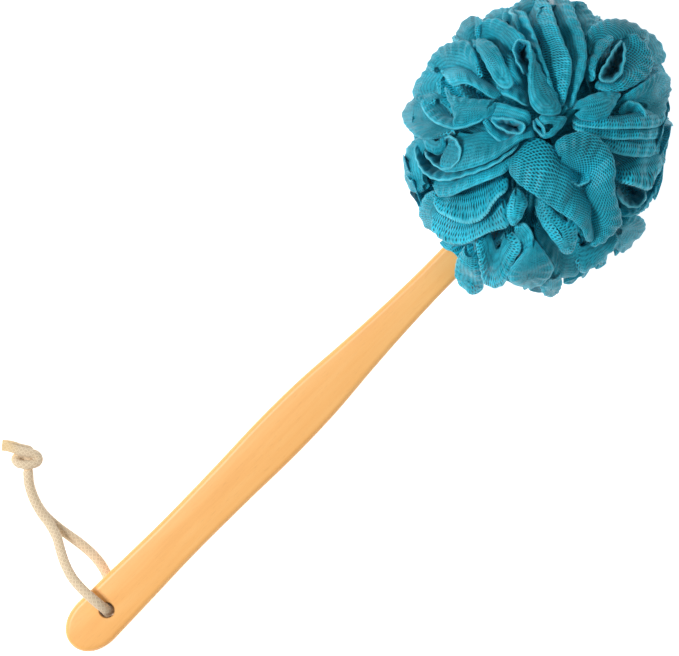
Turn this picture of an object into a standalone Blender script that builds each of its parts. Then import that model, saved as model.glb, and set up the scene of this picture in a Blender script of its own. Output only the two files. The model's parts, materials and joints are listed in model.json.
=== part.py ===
"""Back scrubber for the bath: a flat wooden handle, a ball of gathered netting laced to its head, and a
hanging cord through a hole in its tail.

The scrubber lies on z = 0. +X runs along it from the tail to the ball, +Z is up, and the origin is under the
middle of the handle and ball together. The handle slopes up to the middle of the ball, so everything fixed to
it is drawn in the handle's own frame, which starts in the middle of the hanging hole: x along the handle
toward the ball, y across it, z out of its front face. The cord's loop lies level at rest, and turns about the
middle line of the hanging hole.
"""

import math

import bmesh
import bpy
from mathutils import Vector

MM = 0.001
GAP = 0.3 * MM

# The whole scrubber
OVERALL_LENGTH = 409 * MM
BALL_HALF_LENGTH = 75 * MM
BALL_HALF_WIDTH = 66 * MM
BALL_HALF_HEIGHT = 62 * MM
BALL_CENTRE_HEIGHT = 58 * MM  # its own weight flattens the ball where it rests
BALL_SIDE_OFFSET = 9 * MM  # the ball's middle lies this far to the +Y side of the handle's middle line

# The handle, along itself from the tail's end
HANDLE_LENGTH = 352.5 * MM
HANDLE_THICKNESS = 8 * MM
EDGE_ROUND = 2.8 * MM
HOLE_FROM_TAIL = 24.8 * MM
HOLE_HEIGHT = 11.3 * MM  # of the hole's middle above the floor, which leaves room for the cord under it
TAIL_ROUND_LENGTH = 17 * MM
HEAD_ROUND_LENGTH = 10 * MM
HANDLE_WIDTHS = (  # (distance from the tail's end, full width) where the outline swells or narrows
    (TAIL_ROUND_LENGTH, 25.3 * MM),
    (45 * MM, 24.0 * MM),
    (72 * MM, 22.7 * MM),
    (112 * MM, 23.4 * MM),
    (146 * MM, 25.0 * MM),
    (172 * MM, 24.0 * MM),
    (200 * MM, 19.9 * MM),
    (222 * MM, 17.3 * MM),
    (250 * MM, 15.4 * MM),
    (300 * MM, 16.6 * MM),
    (HANDLE_LENGTH - HEAD_ROUND_LENGTH, 17.6 * MM),
)
WIDTH_STEP = 12 * MM  # between the outline's points along each side
TAIL_POINTS = 9  # on each side of the rounded tail
HEAD_POINTS = 5
HOLE_RADIUS = 3.7 * MM
HOLE_CHAMFER = 0.5 * MM
LACING_HOLE_RADIUS = 2.5 * MM
LACING_HOLE_SPACING = 16 * MM
LACING_CHAMFER = 0.6 * MM

# The netting: three tied sleeves in front of the head, three behind, each a lobe to both sides of its waist
SLEEVES_A_SIDE = 3
LOBE_ANGLE = math.pi / SLEEVES_A_SIDE
CORE_RADIUS = 11 * MM  # the middle, where only the tied waists and the binding pass
CORE_HALF_HEIGHT = 26 * MM
WAIST_WIDTH = 5 * MM
WAIST_THICKNESS = 4 * MM
WAIST_START = HANDLE_THICKNESS / 2 + 0.7 * MM
WAIST_SPACING = WAIST_THICKNESS + 0.4 * MM
HANDLE_CLEARANCE = 0.5 * MM

# The binding that laces the waists to the head
BINDING_DIAMETER = 2.2 * MM
BINDING_ARCH = 20.5 * MM  # how far its middle passes in front of and behind the head's middle plane
BINDING_SHOULDER = 16.5 * MM
BINDING_KNOT_RADIUS = 3 * MM
BINDING_KNOT_HEIGHT = 4.6 * MM

# The hanging cord
CORD_DIAMETER = 4.4 * MM
CORD_POINT_SPACING = 1.1 * CORD_DIAMETER
CORD_ROUTE = (  # metres from the floor under the hanging hole: from the knot over the front, back underneath
    (0.0206, 0.0752, 0.0070),
    (0.0163, 0.0700, 0.0070),
    (0.0128, 0.0632, 0.0070),
    (0.0107, 0.0560, 0.0071),
    (0.0096, 0.0490, 0.0080),
    (0.0075, 0.0422, 0.0101),
    (0.0042, 0.0362, 0.0132),
    (0.0011, 0.0298, 0.0163),
    (-0.0010, 0.0226, 0.0189),
    (-0.0015, 0.0155, 0.0207),
    (-0.0013, 0.0096, 0.0211),
    (-0.0010, 0.0048, 0.0196),
    (-0.0006, 0.0014, 0.0160),
    (0.0000, 0.0000, 0.0113),
    (0.0015, 0.0009, 0.0070),
    (0.0043, 0.0032, 0.0041),
    (0.0080, 0.0066, 0.0028),
    (0.0112, 0.0116, 0.0023),
    (0.0131, 0.0178, 0.0023),
    (0.0137, 0.0250, 0.0023),
    (0.0131, 0.0330, 0.0023),
    (0.0118, 0.0410, 0.0023),
    (0.0109, 0.0490, 0.0023),
    (0.0110, 0.0560, 0.0023),
    (0.0129, 0.0632, 0.0023),
    (0.0163, 0.0700, 0.0023),
    (0.0206, 0.0752, 0.0023),
)
KNOT_CENTRE = Vector((24.6, 79.2, 5.3)) * MM  # from the floor under the hanging hole, as are the cord's ends
KNOT_HALF_LENGTH = 7.3 * MM
KNOT_HALF_WIDTH = 5.3 * MM
KNOT_HEIGHT = 10 * MM
KNOT_TURN = math.radians(135)  # of its long way, from +X toward +Y
KNOT_EDGE_ROUND = 2.2 * MM
CORD_END_LENGTH = 9 * MM
CORD_END_HEIGHTS = (2.5 * MM, 7.2 * MM)
CORD_END_HEADINGS = (math.radians(110), math.radians(93))

# Worked out from the above
TAIL_X = -OVERALL_LENGTH / 2
BALL_X = OVERALL_LENGTH / 2 - BALL_HALF_LENGTH
HANDLE_Y = -BALL_SIDE_OFFSET
HANDLE_SLOPE = math.asin(
    (BALL_CENTRE_HEIGHT - HOLE_HEIGHT)
    / math.hypot(BALL_X - TAIL_X - HOLE_FROM_TAIL, BALL_CENTRE_HEIGHT - HOLE_HEIGHT)
)
HOLE_X = TAIL_X + HOLE_FROM_TAIL * math.cos(HANDLE_SLOPE)
HEAD_X = (BALL_X - HOLE_X) / math.cos(HANDLE_SLOPE)  # the ball's middle, in the handle's own frame
HEAD_END_X = HANDLE_LENGTH - HOLE_FROM_TAIL


def material(name, colour, roughness):
    """A plain Principled material; the colour is linear red, green and blue."""
    made = bpy.data.materials.new(name)
    made.use_nodes = True
    shader = made.node_tree.nodes["Principled BSDF"]
    shader.inputs["Base Color"].default_value = (*colour, 1)
    shader.inputs["Roughness"].default_value = roughness
    shader.inputs["Metallic"].default_value = 0
    return made


def add_object(name, data, parent=None, surface=None):
    made = bpy.data.objects.new(name, data)
    bpy.context.collection.objects.link(made)
    made.parent = parent
    if surface:
        data.materials.append(surface)
    return made


def add_empty(name, location, slope=0.0):
    made = add_object(name, None)
    made.location = location
    made.rotation_euler.y = -slope
    return made


def mesh_from(name, build):
    """A mesh of what build(bm) draws, with its faces turned outward."""
    bm = bmesh.new()
    build(bm)
    bmesh.ops.recalc_face_normals(bm, faces=bm.faces)
    mesh = bpy.data.meshes.new(name)
    bm.to_mesh(mesh)
    bm.free()
    return mesh


def add_cutter(name, mesh, parent=None):
    made = add_object(name, mesh, parent)
    made.hide_render = True
    made.display_type = "WIRE"
    return made


def combine(target, other, operation):
    boolean = target.modifiers.new(other.name, "BOOLEAN")
    boolean.operation = operation
    boolean.solver = "EXACT"
    boolean.object = other


def round_edges(target, width, segments):
    bevel = target.modifiers.new("round_edges", "BEVEL")
    bevel.width = width
    bevel.segments = segments
    bevel.limit_method = "ANGLE"
    bevel.angle_limit = math.radians(50)


def shade(target):
    target.data.shade_smooth()
    target.data.set_sharp_from_angle(angle=math.radians(40))


def prism(bm, outline, low, high):
    """Draws the closed solid over a flat outline of (x, y) points, from z = low to z = high."""
    bottom = [bm.verts.new((x, y, low)) for x, y in outline]
    top = [bm.verts.new((x, y, high)) for x, y in outline]
    bm.faces.new(reversed(bottom))
    bm.faces.new(top)
    for i in range(len(outline)):
        j = (i + 1) % len(outline)
        bm.faces.new((bottom[i], bottom[j], top[j], top[i]))


def turned(bm, profile, segments, centre=(0, 0)):
    """Draws the closed solid that a profile of (radius, z) points makes about an upright line."""
    rings = []
    for radius, z in profile:
        ring = []
        for k in range(segments):
            angle = 2 * math.pi * k / segments
            x = centre[0] + radius * math.cos(angle)
            y = centre[1] + radius * math.sin(angle)
            ring.append(bm.verts.new((x, y, z)))
        rings.append(ring)
    for low, high in zip(rings, rings[1:]):
        for k in range(segments):
            n = (k + 1) % segments
            bm.faces.new((low[k], low[n], high[n], high[k]))
    bm.faces.new(reversed(rings[0]))
    bm.faces.new(rings[-1])


def on_curve(points, at):
    """The place at a whole or part number of steps along the smooth curve through the points."""
    i = min(int(at), len(points) - 2)
    t = at - i
    before = points[i - 1] if i > 0 else 2 * points[0] - points[1]
    after = points[i + 2] if i + 2 < len(points) else 2 * points[-1] - points[-2]
    a, b = points[i], points[i + 1]
    slope = b - before
    bend = 2 * before - 5 * a + 4 * b - after
    twist = 3 * a - before - 3 * b + after
    return 0.5 * (2 * a + slope * t + bend * t**2 + twist * t**3)


def spaced_along(points, spacing):
    """Evenly spaced places, about the given distance apart, along the smooth curve through the points."""
    fine_steps = 40
    fine = [on_curve(points, k / fine_steps) for k in range((len(points) - 1) * fine_steps + 1)]
    reached = [0.0]
    for a, b in zip(fine, fine[1:]):
        reached.append(reached[-1] + (b - a).length)
    count = round(reached[-1] / spacing)
    places, k = [], 0
    for n in range(count + 1):
        wanted = reached[-1] * n / count
        while k < len(fine) - 2 and reached[k + 1] < wanted:
            k += 1
        share = (wanted - reached[k]) / (reached[k + 1] - reached[k])
        places.append(fine[k].lerp(fine[k + 1], share))
    return places


def add_tube(name, places, diameter, parent, surface, resolution):
    """A round tube with filled ends through the places, which are in the parent's frame."""
    curve = bpy.data.curves.new(name, "CURVE")
    curve.dimensions = "3D"
    curve.bevel_depth = diameter / 2
    curve.bevel_resolution = resolution
    curve.render_resolution_u = 0
    curve.use_fill_caps = True
    spline = curve.splines.new("POLY")
    spline.points.add(len(places) - 1)
    for point, place in zip(spline.points, places):
        point.co = (*place, 1)
    return add_object(name, curve, parent, surface)


def handle_half_width(distance):
    """Half the handle's width at a distance from the tail's end, between its two rounded ends."""
    i = 0
    while i < len(HANDLE_WIDTHS) - 2 and HANDLE_WIDTHS[i + 1][0] < distance:
        i += 1
    (start, _), (end, _) = HANDLE_WIDTHS[i], HANDLE_WIDTHS[i + 1]
    widths = [Vector((width, 0)) for _, width in HANDLE_WIDTHS]
    return on_curve(widths, i + (distance - start) / (end - start)).x / 2


def handle_outline():
    """The handle's flat outline: a rounded tail, two mirrored sides and a rounded head."""
    first, last = HANDLE_WIDTHS[0][0], HANDLE_WIDTHS[-1][0]
    steps = round((last - first) / WIDTH_STEP)
    side = [first + (last - first) * k / steps for k in range(steps + 1)]
    upper = []
    for k in range(TAIL_POINTS):
        angle = math.pi / 2 * k / TAIL_POINTS
        reach = first - TAIL_ROUND_LENGTH * math.cos(angle)
        upper.append((reach, handle_half_width(first) * math.sin(angle)))
    upper += [(distance, handle_half_width(distance)) for distance in side]
    for k in range(1, HEAD_POINTS + 1):
        angle = math.pi / 2 * k / HEAD_POINTS
        reach = last + HEAD_ROUND_LENGTH * math.sin(angle)
        upper.append((reach, handle_half_width(last) * math.cos(angle)))
    lower = [(x, -y) for x, y in reversed(upper[1:-1])]
    return [(x - HOLE_FROM_TAIL, y) for x, y in upper + lower]


def draw_handle(bm):
    """The handle before its edges are rounded, its flat faces divided across between the two sides."""
    outline = handle_outline()
    prism(bm, outline, -HANDLE_THICKNESS / 2, HANDLE_THICKNESS / 2)
    bm.verts.ensure_lookup_table()
    count = len(outline)
    for first in (0, count):
        for k in range(TAIL_POINTS, count // 2 - HEAD_POINTS + 1):
            bmesh.ops.connect_verts(bm, verts=(bm.verts[first + k], bm.verts[first + count - k]))


def spool(bm, radius, chamfer, centre):
    """A cutter for a round hole through the handle with a chamfer at each face."""
    face = HANDLE_THICKNESS / 2
    past = 2 * MM
    profile = (
        (radius + chamfer + past, -face - past),
        (radius, -face + chamfer),
        (radius, face - chamfer),
        (radius + chamfer + past, face + past),
    )
    turned(bm, profile, 24, centre)


def add_handle(parent, surface):
    handle = add_object("handle", mesh_from("handle", draw_handle), parent, surface)
    shade(handle)
    round_edges(handle, EDGE_ROUND, 3)
    holes = [("hanging_hole", HOLE_RADIUS, HOLE_CHAMFER, 0)]
    for name, side in (("lacing_hole_near", -1), ("lacing_hole_far", 1)):
        x = HEAD_X + side * LACING_HOLE_SPACING / 2
        holes.append((name, LACING_HOLE_RADIUS, LACING_CHAMFER, x))
    for name, radius, chamfer, x in holes:
        mesh = mesh_from(name, lambda bm: spool(bm, radius, chamfer, (x, 0)))
        combine(handle, add_cutter(name, mesh, parent), "DIFFERENCE")


def draw_ball(bm):
    """The ball's outer shape, flat where it rests."""
    bmesh.ops.create_uvsphere(bm, u_segments=32, v_segments=20, radius=1)
    bmesh.ops.scale(bm, vec=(BALL_HALF_LENGTH, BALL_HALF_WIDTH, BALL_HALF_HEIGHT), verts=bm.verts)
    bmesh.ops.bisect_plane(
        bm,
        geom=bm.verts[:] + bm.edges[:] + bm.faces[:],
        plane_co=(0, 0, -BALL_CENTRE_HEIGHT),
        plane_no=(0, 0, -1),
        clear_outer=True,
    )
    bmesh.ops.holes_fill(bm, edges=[edge for edge in bm.edges if edge.is_boundary])


def draw_lobe_pair(bm, heading, low, high):
    """Two opposite wedges about the head's upright line, kept clear of the next sleeve's wedges."""
    reach = 1.5 * BALL_HALF_LENGTH
    half = LOBE_ANGLE / 2
    for turn in (heading, heading + math.pi):
        tip = Vector((math.cos(turn), math.sin(turn))) * (GAP / 2 / math.sin(half))
        corners = [tip]
        for angle in (turn - half, turn + half):
            corners.append(tip + reach / math.cos(half) * Vector((math.cos(angle), math.sin(angle))))
        prism(bm, [(HEAD_X + x, y) for x, y in corners], low, high)


def draw_waist(bm, heading, low, high):
    """The tied waist of a sleeve, which crosses the core from lobe to lobe."""
    along = Vector((math.cos(heading), math.sin(heading))) * (CORE_RADIUS + 2 * MM)
    across = Vector((-math.sin(heading), math.cos(heading))) * WAIST_WIDTH / 2
    corners = (-along - across, along - across, along + across, -along + across)
    prism(bm, [(HEAD_X + x, y) for x, y in corners], low, high)


def draw_core(bm):
    turned(bm, ((CORE_RADIUS, -CORE_HALF_HEIGHT), (CORE_RADIUS, CORE_HALF_HEIGHT)), 24, (HEAD_X, 0))


def draw_handle_room(bm):
    """The slot that the head and neck fill between the front sleeves and the back ones."""
    half_width = handle_half_width(HANDLE_WIDTHS[-1][0]) + HANDLE_CLEARANCE
    half_height = HANDLE_THICKNESS / 2 + HANDLE_CLEARANCE
    start, end = HEAD_X - 1.5 * BALL_HALF_LENGTH, HEAD_END_X + HANDLE_CLEARANCE
    outline = ((start, -half_width), (end, -half_width), (end, half_width), (start, half_width))
    prism(bm, outline, -half_height, half_height)


def add_sleeves(parent, surface):
    """Six bow-tie sleeves that fill the ball between them, each one solid through its waist."""
    ball = add_cutter("ball_shape", mesh_from("ball_shape", draw_ball))
    ball.location = (BALL_X, 0, BALL_CENTRE_HEIGHT)
    core = add_cutter("core_shape", mesh_from("core_shape", draw_core), parent)
    handle_room = add_cutter("handle_room", mesh_from("handle_room", draw_handle_room), parent)
    for side, sign in (("front", 1), ("back", -1)):
        for k in range(SLEEVES_A_SIDE):
            name = f"netting_sleeve_{side}_{k + 1}"
            heading = LOBE_ANGLE * (k + 0.5)
            ends = sorted((sign * GAP / 2, sign * 2 * BALL_HALF_HEIGHT))
            lobes = mesh_from(name, lambda bm: draw_lobe_pair(bm, heading, *ends))
            sleeve = add_object(name, lobes, parent, surface)
            combine(sleeve, ball, "INTERSECT")
            combine(sleeve, core, "DIFFERENCE")
            combine(sleeve, handle_room, "DIFFERENCE")
            start = WAIST_START + k * WAIST_SPACING
            heights = sorted((sign * start, sign * (start + WAIST_THICKNESS)))
            waist = mesh_from(f"waist_{side}_{k + 1}", lambda bm: draw_waist(bm, heading, *heights))
            combine(sleeve, add_cutter(f"waist_{side}_{k + 1}", waist, parent), "UNION")


def add_binding(parent, surface):
    """One turn of cord through the two lacing holes, over the front waists and the back ones, and its knot."""
    leg = LACING_HOLE_SPACING / 2
    knot_side = BINDING_KNOT_RADIUS + GAP
    route = (
        (knot_side, -BINDING_ARCH),
        (leg * 0.85, -BINDING_ARCH + 1.2 * MM),
        (leg, -BINDING_SHOULDER),
        (leg, -BINDING_SHOULDER / 2),
        (leg, 0),
        (leg, BINDING_SHOULDER / 2),
        (leg, BINDING_SHOULDER),
        (leg * 0.7, BINDING_ARCH - 0.8 * MM),
        (0, BINDING_ARCH),
    )
    right = [Vector((HEAD_X + x, 0, z)) for x, z in route]
    left = [Vector((2 * HEAD_X - place.x, 0, place.z)) for place in reversed(right[:-1])]
    places = spaced_along(right + left, 1.5 * BINDING_DIAMETER)
    add_tube("binding_cord", places, BINDING_DIAMETER, parent, surface, 2)
    low = -BINDING_ARCH - BINDING_KNOT_HEIGHT / 2
    high = low + BINDING_KNOT_HEIGHT

    def draw_knot(bm):
        turned(bm, ((BINDING_KNOT_RADIUS, low), (BINDING_KNOT_RADIUS, high)), 16, (HEAD_X, 0))

    knot = add_object("binding_knot", mesh_from("binding_knot", draw_knot), parent, surface)
    shade(knot)
    round_edges(knot, 1 * MM, 2)


def add_hanging_loop(surface):
    """The cord through the hanging hole, the knot that joins its ends, and the two ends past the knot."""
    loop = add_empty("hanging_loop", (HOLE_X, HANDLE_Y, HOLE_HEIGHT))
    floor = Vector((0, 0, -HOLE_HEIGHT))
    route = [Vector(place) + floor for place in CORD_ROUTE]
    add_tube("hanging_cord", spaced_along(route, CORD_POINT_SPACING), CORD_DIAMETER, loop, surface, 3)

    def draw_knot(bm):
        outline = []
        for k in range(24):
            angle = 2 * math.pi * k / 24
            outline.append((KNOT_HALF_LENGTH * math.cos(angle), KNOT_HALF_WIDTH * math.sin(angle)))
        prism(bm, outline, -KNOT_HEIGHT / 2, KNOT_HEIGHT / 2)

    knot = add_object("hanging_cord_knot", mesh_from("hanging_cord_knot", draw_knot), loop, surface)
    knot.location = KNOT_CENTRE + floor
    knot.rotation_euler.z = KNOT_TURN
    shade(knot)
    round_edges(knot, KNOT_EDGE_ROUND, 3)
    for name, height, heading in zip("ab", CORD_END_HEIGHTS, CORD_END_HEADINGS):
        out = Vector((math.cos(heading), math.sin(heading), 0))
        along = KNOT_HALF_LENGTH * math.cos(heading - KNOT_TURN)
        across = KNOT_HALF_WIDTH * math.sin(heading - KNOT_TURN)
        reach = math.hypot(along, across)
        middle = Vector((KNOT_CENTRE.x, KNOT_CENTRE.y, height)) + floor
        # The place on the knot's side that faces the way this end leaves
        start = Vector((along * KNOT_HALF_LENGTH, across * KNOT_HALF_WIDTH, 0)) / reach
        start.rotate(knot.rotation_euler)
        first = middle + start + out * GAP
        places = [first + out * CORD_END_LENGTH * k / 3 for k in range(4)]
        add_tube(f"hanging_cord_end_{name}", places, CORD_DIAMETER, loop, surface, 3)


def main():
    for old in list(bpy.data.objects):
        bpy.data.objects.remove(old, do_unlink=True)
    handle_frame = add_empty("handle_frame", (HOLE_X, HANDLE_Y, HOLE_HEIGHT), HANDLE_SLOPE)
    wood = material("wood", (0.95, 0.50, 0.17), 0.45)
    netting = material("netting", (0.03, 0.24, 0.31), 0.55)
    binding = material("binding", (0.04, 0.28, 0.36), 0.5)
    cotton = material("cotton", (0.78, 0.63, 0.44), 0.8)
    add_handle(handle_frame, wood)
    add_sleeves(handle_frame, netting)
    add_binding(handle_frame, binding)
    add_hanging_loop(cotton)


main()
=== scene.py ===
"""Looks of the bath back scrubber: its flat wooden handle, its ball of ruffled netting and its cotton cord.

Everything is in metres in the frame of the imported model: +X runs along the scrubber from the tail to the
ball, +Z is up and the scrubber lies on z = 0. The ball's ruffles are drawn round two poles, one that faces up
and one that faces down. A ruffle's rim is a wavy line over the ball, and its cloth runs from there to the
ball's middle. On the front, petals placed one by one lie over them, and a pleated lining closes the ball.
"""

import json
import math

import bmesh
import bpy
import numpy as np
from mathutils import Matrix, Vector


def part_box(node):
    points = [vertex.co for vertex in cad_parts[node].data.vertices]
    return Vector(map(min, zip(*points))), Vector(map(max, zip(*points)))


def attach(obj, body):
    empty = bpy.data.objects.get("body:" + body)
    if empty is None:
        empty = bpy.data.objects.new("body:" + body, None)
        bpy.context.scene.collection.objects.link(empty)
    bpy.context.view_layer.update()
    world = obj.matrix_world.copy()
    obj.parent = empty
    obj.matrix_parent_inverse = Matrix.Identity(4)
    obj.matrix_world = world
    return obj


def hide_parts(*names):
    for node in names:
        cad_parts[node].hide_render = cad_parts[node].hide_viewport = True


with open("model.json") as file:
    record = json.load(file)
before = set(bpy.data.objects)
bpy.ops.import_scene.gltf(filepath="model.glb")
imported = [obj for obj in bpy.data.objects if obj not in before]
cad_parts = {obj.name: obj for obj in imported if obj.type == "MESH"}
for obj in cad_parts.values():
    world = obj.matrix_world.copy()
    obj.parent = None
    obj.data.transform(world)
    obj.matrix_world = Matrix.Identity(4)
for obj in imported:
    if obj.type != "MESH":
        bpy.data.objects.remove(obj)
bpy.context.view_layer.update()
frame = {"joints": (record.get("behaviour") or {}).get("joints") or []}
MM = 0.001

# Where things are, from the frame
JOINT = next(j for j in frame["joints"] if j["name"] == "hanging_loop_swing")
HOLE = Vector(JOINT["pos_m"])
HANDLE_UP = Vector(JOINT["axis"]).normalized()
HANDLE_SLOPE = math.atan2(-HANDLE_UP.x, HANDLE_UP.z)
HANDLE_ALONG = Vector((math.cos(HANDLE_SLOPE), 0, math.sin(HANDLE_SLOPE)))
BALL_HALF_LENGTH = 75 * MM
BALL_CENTRE_HEIGHT = 58 * MM
BALL_CENTRE = Vector((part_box("netting_sleeve_front_1")[1].x - BALL_HALF_LENGTH, 0, BALL_CENTRE_HEIGHT))

# The handle, along itself from the tail's end
HANDLE_LENGTH = 352.5 * MM
HANDLE_THICKNESS = 8 * MM
EDGE_ROUND = 2.8 * MM
HOLE_FROM_TAIL = 24.8 * MM
HOLE_RADIUS = 3.7 * MM
HOLE_CHAMFER = 0.35 * MM
BROWN_BEGINS = 0.25 * MM  # how far inside the hole's wall its brown begins to fade
BROWN_FADE = 0.9 * MM
TAIL_ROUND_LENGTH = 17 * MM
TAIL_FULLNESS = 0.92  # below 1, the tail's end is fuller than half an ellipse
HEAD_ROUND_LENGTH = 10 * MM
OUTLINE_STEP = 3 * MM
TAIL_STEPS = 26
HEAD_STEPS = 12
EDGE_STEPS = 7
HOLE_SIDES = 72
SHARP_ANGLE = math.radians(35)
HANDLE_WIDTHS = (  # (distance from the tail's end, full width)
    (17 * MM, 25.3 * MM),
    (45 * MM, 24.0 * MM),
    (72 * MM, 22.7 * MM),
    (112 * MM, 23.4 * MM),
    (146 * MM, 25.0 * MM),
    (172 * MM, 24.0 * MM),
    (200 * MM, 19.9 * MM),
    (222 * MM, 17.3 * MM),
    (250 * MM, 15.4 * MM),
    (300 * MM, 16.6 * MM),
    (342.5 * MM, 17.6 * MM),
)

# The hanging cord, from the floor under the hanging hole, as it is laid in the CAD part
CORD_DIAMETER = 4.4 * MM
CORD_ROUTE = (
    (0.0206, 0.0752, 0.0070),
    (0.0163, 0.0700, 0.0070),
    (0.0128, 0.0632, 0.0070),
    (0.0107, 0.0560, 0.0071),
    (0.0096, 0.0490, 0.0080),
    (0.0075, 0.0422, 0.0101),
    (0.0042, 0.0362, 0.0132),
    (0.0011, 0.0298, 0.0163),
    (-0.0010, 0.0226, 0.0189),
    (-0.0015, 0.0155, 0.0207),
    (-0.0013, 0.0096, 0.0211),
    (-0.0010, 0.0048, 0.0196),
    (-0.0006, 0.0014, 0.0160),
    (0.0000, 0.0000, 0.0113),
    (0.0015, 0.0009, 0.0070),
    (0.0043, 0.0032, 0.0041),
    (0.0080, 0.0066, 0.0028),
    (0.0112, 0.0116, 0.0023),
    (0.0131, 0.0178, 0.0023),
    (0.0137, 0.0250, 0.0023),
    (0.0131, 0.0330, 0.0023),
    (0.0118, 0.0410, 0.0023),
    (0.0109, 0.0490, 0.0023),
    (0.0110, 0.0560, 0.0023),
    (0.0129, 0.0632, 0.0023),
    (0.0163, 0.0700, 0.0023),
    (0.0206, 0.0752, 0.0023),
)

# The camera looks straight down from far above
CAMERA_HEIGHT = 6.0
CAMERA_TURN = math.radians(-45.39)
VIEW_CENTRE = (-2.7 * MM, 6.8 * MM)
VIEW_WIDTH = 329 * MM  # at the height of the ball's middle
SENSOR = 36.0
CLIP_END = 20.0

# Light and floor
LIGHTS = (  # (name, azimuth, elevation, distance, size, power)
    ("key", 135, 50, 1.6, 0.45, 19),  # at the top left of the camera's view
    ("fill", -60, 50, 1.8, 1.2, 3),  # at its lower right
)
LIT_POINT = Vector((0.05, 0, 0.03))
WORLD_STRENGTH = 0.28
LAYERS_SEEN_THROUGH = 48
FLOOR_HALF_SIDE = 6.0
FLOOR_DROP = 0.2 * MM


# ---- helpers ----

CURVE_STEPS = 24  # between two given points of a smooth curve


def smooth_points(points, spacing):
    """Points at even spacing along a smooth curve through the given ones, and the curve's length."""
    p = np.asarray(points, float)
    p = np.vstack([2 * p[0] - p[1], p, 2 * p[-1] - p[-2]])
    steps = np.linspace(0, 1, CURVE_STEPS, endpoint=False)[:, None]
    runs = []
    for a, b, c, d in zip(p[:-3], p[1:-2], p[2:-1], p[3:]):
        runs.append(0.5 * (2 * b + (c - a) * steps + (2 * a - 5 * b + 4 * c - d) * steps**2
                           + (3 * b - a - 3 * c + d) * steps**3))
    fine = np.vstack(runs + [p[-2:-1]])
    far = np.concatenate([[0], np.cumsum(np.linalg.norm(np.diff(fine, axis=0), axis=1))])
    count = max(2, round(far[-1] / spacing) + 1)
    at = np.linspace(0, far[-1], count)
    return np.stack([np.interp(at, far, fine[:, k]) for k in range(fine.shape[1])], 1), far[-1]


def unit(vectors):
    return vectors / np.maximum(np.linalg.norm(vectors, axis=-1, keepdims=True), 1e-12)


def carried_frames(path):
    """A path's direction at each point, and two directions across it that twist as little as they can."""
    ahead = unit(np.gradient(path, axis=0))
    side = np.zeros_like(path)
    start = np.cross(ahead[0], (0.0, 0.0, 1.0))
    if np.linalg.norm(start) < 0.1:
        start = np.cross(ahead[0], (0.0, 1.0, 0.0))
    side[0] = unit(start)
    for i in range(1, len(path)):
        carried = side[i - 1] - ahead[i] * np.dot(side[i - 1], ahead[i])
        side[i] = carried / np.linalg.norm(carried)
    return ahead, side, np.cross(ahead, side)


def mesh_object(name, verts, faces, surface, uvs=None):
    mesh = bpy.data.meshes.new(name)
    mesh.from_pydata([tuple(v) for v in np.asarray(verts, float)], [], [tuple(f) for f in faces])
    mesh.update()
    if uvs is not None:
        layer = mesh.uv_layers.new(name="UVMap")
        index = np.zeros(len(mesh.loops), int)
        mesh.loops.foreach_get("vertex_index", index)
        layer.data.foreach_set("uv", np.asarray(uvs, float)[index].ravel())
    mesh.materials.append(surface)
    mesh.shade_smooth()
    made = bpy.data.objects.new(name, mesh)
    bpy.context.scene.collection.objects.link(made)
    return made


def grid_faces(rows, columns, closed=False, start=0):
    """Faces between the rows of points of a sheet or, if closed, of a tube."""
    faces = []
    last = columns if closed else columns - 1
    for i in range(rows - 1):
        for j in range(last):
            a = start + i * columns + j
            b = start + i * columns + (j + 1) % columns
            faces.append((a, b, b + columns, a + columns))
    return faces


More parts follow.
